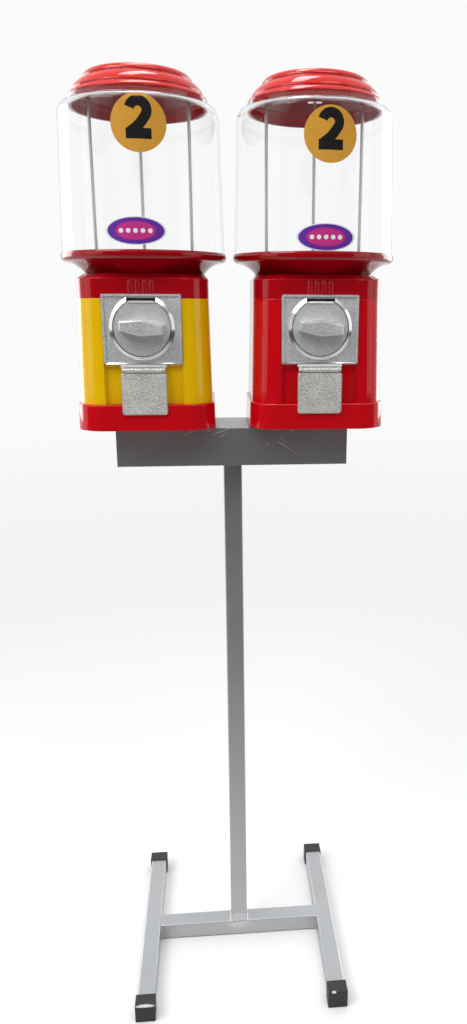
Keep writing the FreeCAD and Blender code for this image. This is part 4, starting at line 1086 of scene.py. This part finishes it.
def make_floor_finish():
    """Pale floor that turns into glowing paper further out."""
    material, tree, shader = new_material("pale_floor", FLOOR_WHITE, Roughness=0.6, Specular_IOR_Level=0.2)
    rays = add_node(tree, "LightPath")
    seen = seen_rays(tree, rays)
    place = add_node(tree, "TexCoord")
    axes = add_node(tree, "SeparateXYZ")
    join(tree, place, "Object", axes, "Vector")
    ahead = ramp(tree, axes, "Y", DIM_FROM_Y, DIM_FULL_Y)
    dimmed = multiply(tree, ahead, "Result", front_share(tree, rays, seen), "Value")
    vary_color(tree, shader, dimmed, "Value", FLOOR_WHITE, FLOOR_DIM)
    reach = add_node(tree, "VectorMath", {"operation": "LENGTH"})
    join(tree, place, "Object", reach, 0)
    far = ramp(tree, reach, "Value", PAPER_FROM, PAPER_FULL)
    paleness = ramp(tree, reach, "Value", PALE_FROM, PALE_FULL, MIDDLE_PALE, BACKDROP,
                    interpolation_type=SMOOTH)
    paper = add_node(tree, "Emission")
    join(tree, paleness, "Result", paper, "Strength")
    behind = take_from_one(tree, ahead, "Result")
    mirrored = multiply(tree, behind, "Value", rays, "Is Glossy Ray")
    shown = add_values(tree, seen, "Value", mirrored, "Value")
    paper_share = multiply(tree, far, "Result", shown, "Value")
    mix = add_node(tree, "MixShader")
    join(tree, paper_share, "Value", mix, 0)
    join(tree, shader, "BSDF", mix, 1)
    join(tree, paper, "Emission", mix, 2)
    join(tree, mix, "Shader", tree.nodes["Material Output"], "Surface")
    return material


floor_finish = make_floor_finish()
print("floor finish", floor_finish.name)

# %% Floor
FLOOR_HALF = 9.0


def make_floor():
    mesh = bpy.data.meshes.new("floor")
    h = FLOOR_HALF
    mesh.from_pydata([(-h, -h, 0), (h, -h, 0), (h, h, 0), (-h, h, 0)], [], [(0, 1, 2, 3)])
    mesh.materials.append(floor_finish)
    floor = bpy.data.objects.new("floor", mesh)
    bpy.context.collection.objects.link(floor)


make_floor()
print("floor", 2 * FLOOR_HALF, "m wide")

# %% [markdown]
# World
#
# The world is the room. For the camera it is an even pale backdrop. Reflections and
# soft light get a room that is as pale at the back and overhead, and dim low down
# behind the camera. In reflections its ceiling is a little blue, as daylight is.

# %% World
ROOM = 0.95
WALL = (1.0, 1.0, 1.0)
CEILING = (0.93, 0.97, 1.0)
DARK = (0.0, 0.0, 0.0)
FRONT_FROM = 0.3
FRONT_FULL = -0.5
DIM_UP_TO = 0.15
DIM_GONE_AT = 0.95
DIM_MOST = 0.94
CEILING_FROM = 0.2
CEILING_FULL = 0.8


def make_world():
    """Pale backdrop for what is seen, and a room with a dim front for reflections and soft light."""
    world = bpy.data.worlds.new("studio")
    bpy.context.scene.world = world
    world.use_nodes = True
    tree = world.node_tree
    room = tree.nodes["Background"]
    place = add_node(tree, "TexCoord")
    axes = add_node(tree, "SeparateXYZ")
    join(tree, place, "Generated", axes, "Vector")
    rays = add_node(tree, "LightPath")
    seen = seen_rays(tree, rays)
    front = ramp(tree, axes, "Y", FRONT_FROM, FRONT_FULL, interpolation_type=SMOOTH)
    level = ramp(tree, axes, "Z", DIM_UP_TO, DIM_GONE_AT, DIM_MOST, 0.0, interpolation_type=SMOOTH)
    low_front = multiply(tree, front, "Result", level, "Result")
    dim = multiply(tree, low_front, "Value", front_share(tree, rays, seen), "Value")
    high = ramp(tree, axes, "Z", CEILING_FROM, CEILING_FULL)
    ceiling = multiply(tree, high, "Result", rays, "Is Glossy Ray")
    sky = vary_color(tree, room, ceiling, "Value", WALL, CEILING, into="Color")
    mix_over(tree, room, sky, dim, "Value", DARK, into="Color")
    shown = add_values(tree, seen, "Value", rays, "Is Glossy Ray")
    strength = ramp(tree, shown, "Value", 0.0, 1.0, ROOM, BACKDROP)
    join(tree, strength, "Result", room, "Strength")
    return world


world = make_world()
print("world", world.name)

# %% [markdown]
# Lamps
#
# Two softboxes above and in front light the object. The cards show in reflections
# alone, as a photographer's white boards do: one overhead for the lids, one at each
# side behind for the globes and the housings, and a faint one at each side in front
# for the bezels.

# %% Lamps
MIDDLE = Vector((0, 0, 1.0))


def area_lamp(name, place, size, radiance, card=False):
    """Softbox of a given radiance that faces the machines; a card shows in reflections alone."""
    lamp = bpy.data.lights.new(name, "AREA")
    lamp.shape = "RECTANGLE"
    lamp.size, lamp.size_y = size
    lamp.energy = radiance * math.pi * size[0] * size[1]
    lamp_object = bpy.data.objects.new(name, lamp)
    lamp_object.location = place
    aim = MIDDLE - Vector(place)
    lamp_object.rotation_euler = aim.to_track_quat("-Z", "Y").to_euler()
    lamp_object.visible_camera = False
    lamp_object.visible_transmission = False
    lamp_object.visible_diffuse = not card
    bpy.context.collection.objects.link(lamp_object)


area_lamp("key_softbox", place=(-1.6, -1.2, 2.9), size=(1.6, 1.6), radiance=5.0)
area_lamp("front_softbox", place=(0.7, -1.3, 3.1), size=(1.4, 1.2), radiance=2.5)
area_lamp("overhead_card", place=(-0.15, 0.1, 2.6), size=(0.9, 0.4), radiance=9.5, card=True)
for side, sign in zip(SIDES, (-1, 1)):
    area_lamp(side + "_card", place=(sign * 1.64, 1.15, 1.2), size=(1.2, 1.2), radiance=4.5, card=True)
for side, sign in zip(SIDES, (-1, 1)):
    area_lamp("ring_%s_card" % side, place=(sign * 1.6, -0.68, 1.25), size=(0.8, 1.0), radiance=0.9,
              card=True)
print("lamps", [lamp.name for lamp in bpy.data.lights])

# %% [markdown]
# Camera
#
# The camera was worked out from the straight tubes and round rims in the photo:
# about a metre in front of the stand and level with the coin plates, a little left
# of the post, turned slightly to the right and looking down. The picture is a tall
# crop, so the lens is given over its long side and the frame is shifted sideways.

# %% Camera
PICTURE = (467, 1024)
FOCAL_PX = 778.47
CENTER_PX = 285.18
CAMERA_PLACE = Vector((-22.42, -1051.27, 990.17)) * MM
YAW, PITCH, ROLL = (math.radians(angle) for angle in (-5.176, 15.192, 0.221))
SENSOR_MM = 36.0
NEAREST = 0.05


def make_camera():
    """Camera at its fitted place, turned, tipped and rolled by the three angles."""
    data = bpy.data.cameras.new("photo_camera")
    camera = bpy.data.objects.new("photo_camera", data)
    bpy.context.collection.objects.link(camera)
    ahead = Vector((-math.sin(YAW) * math.cos(PITCH), math.cos(YAW) * math.cos(PITCH), -math.sin(PITCH)))
    right = Vector((math.cos(YAW), math.sin(YAW), 0))
    up = right.cross(ahead)
    tilted_right = right * math.cos(ROLL) + up * math.sin(ROLL)
    tilted_up = up * math.cos(ROLL) - right * math.sin(ROLL)
    turn = Matrix((tilted_right, tilted_up, -ahead)).transposed()
    camera.matrix_world = Matrix.Translation(CAMERA_PLACE) @ turn.to_4x4()
    data.sensor_width = SENSOR_MM
    data.lens = FOCAL_PX / PICTURE[1] * SENSOR_MM
    data.shift_x = (PICTURE[0] / 2 - CENTER_PX) / PICTURE[1]
    data.clip_start = NEAREST
    bpy.context.scene.camera = camera
    return camera


camera = make_camera()
bpy.context.scene.view_settings.view_transform = "Standard"
print("camera lens", round(camera.data.lens, 2), "shift", round(camera.data.shift_x, 4))
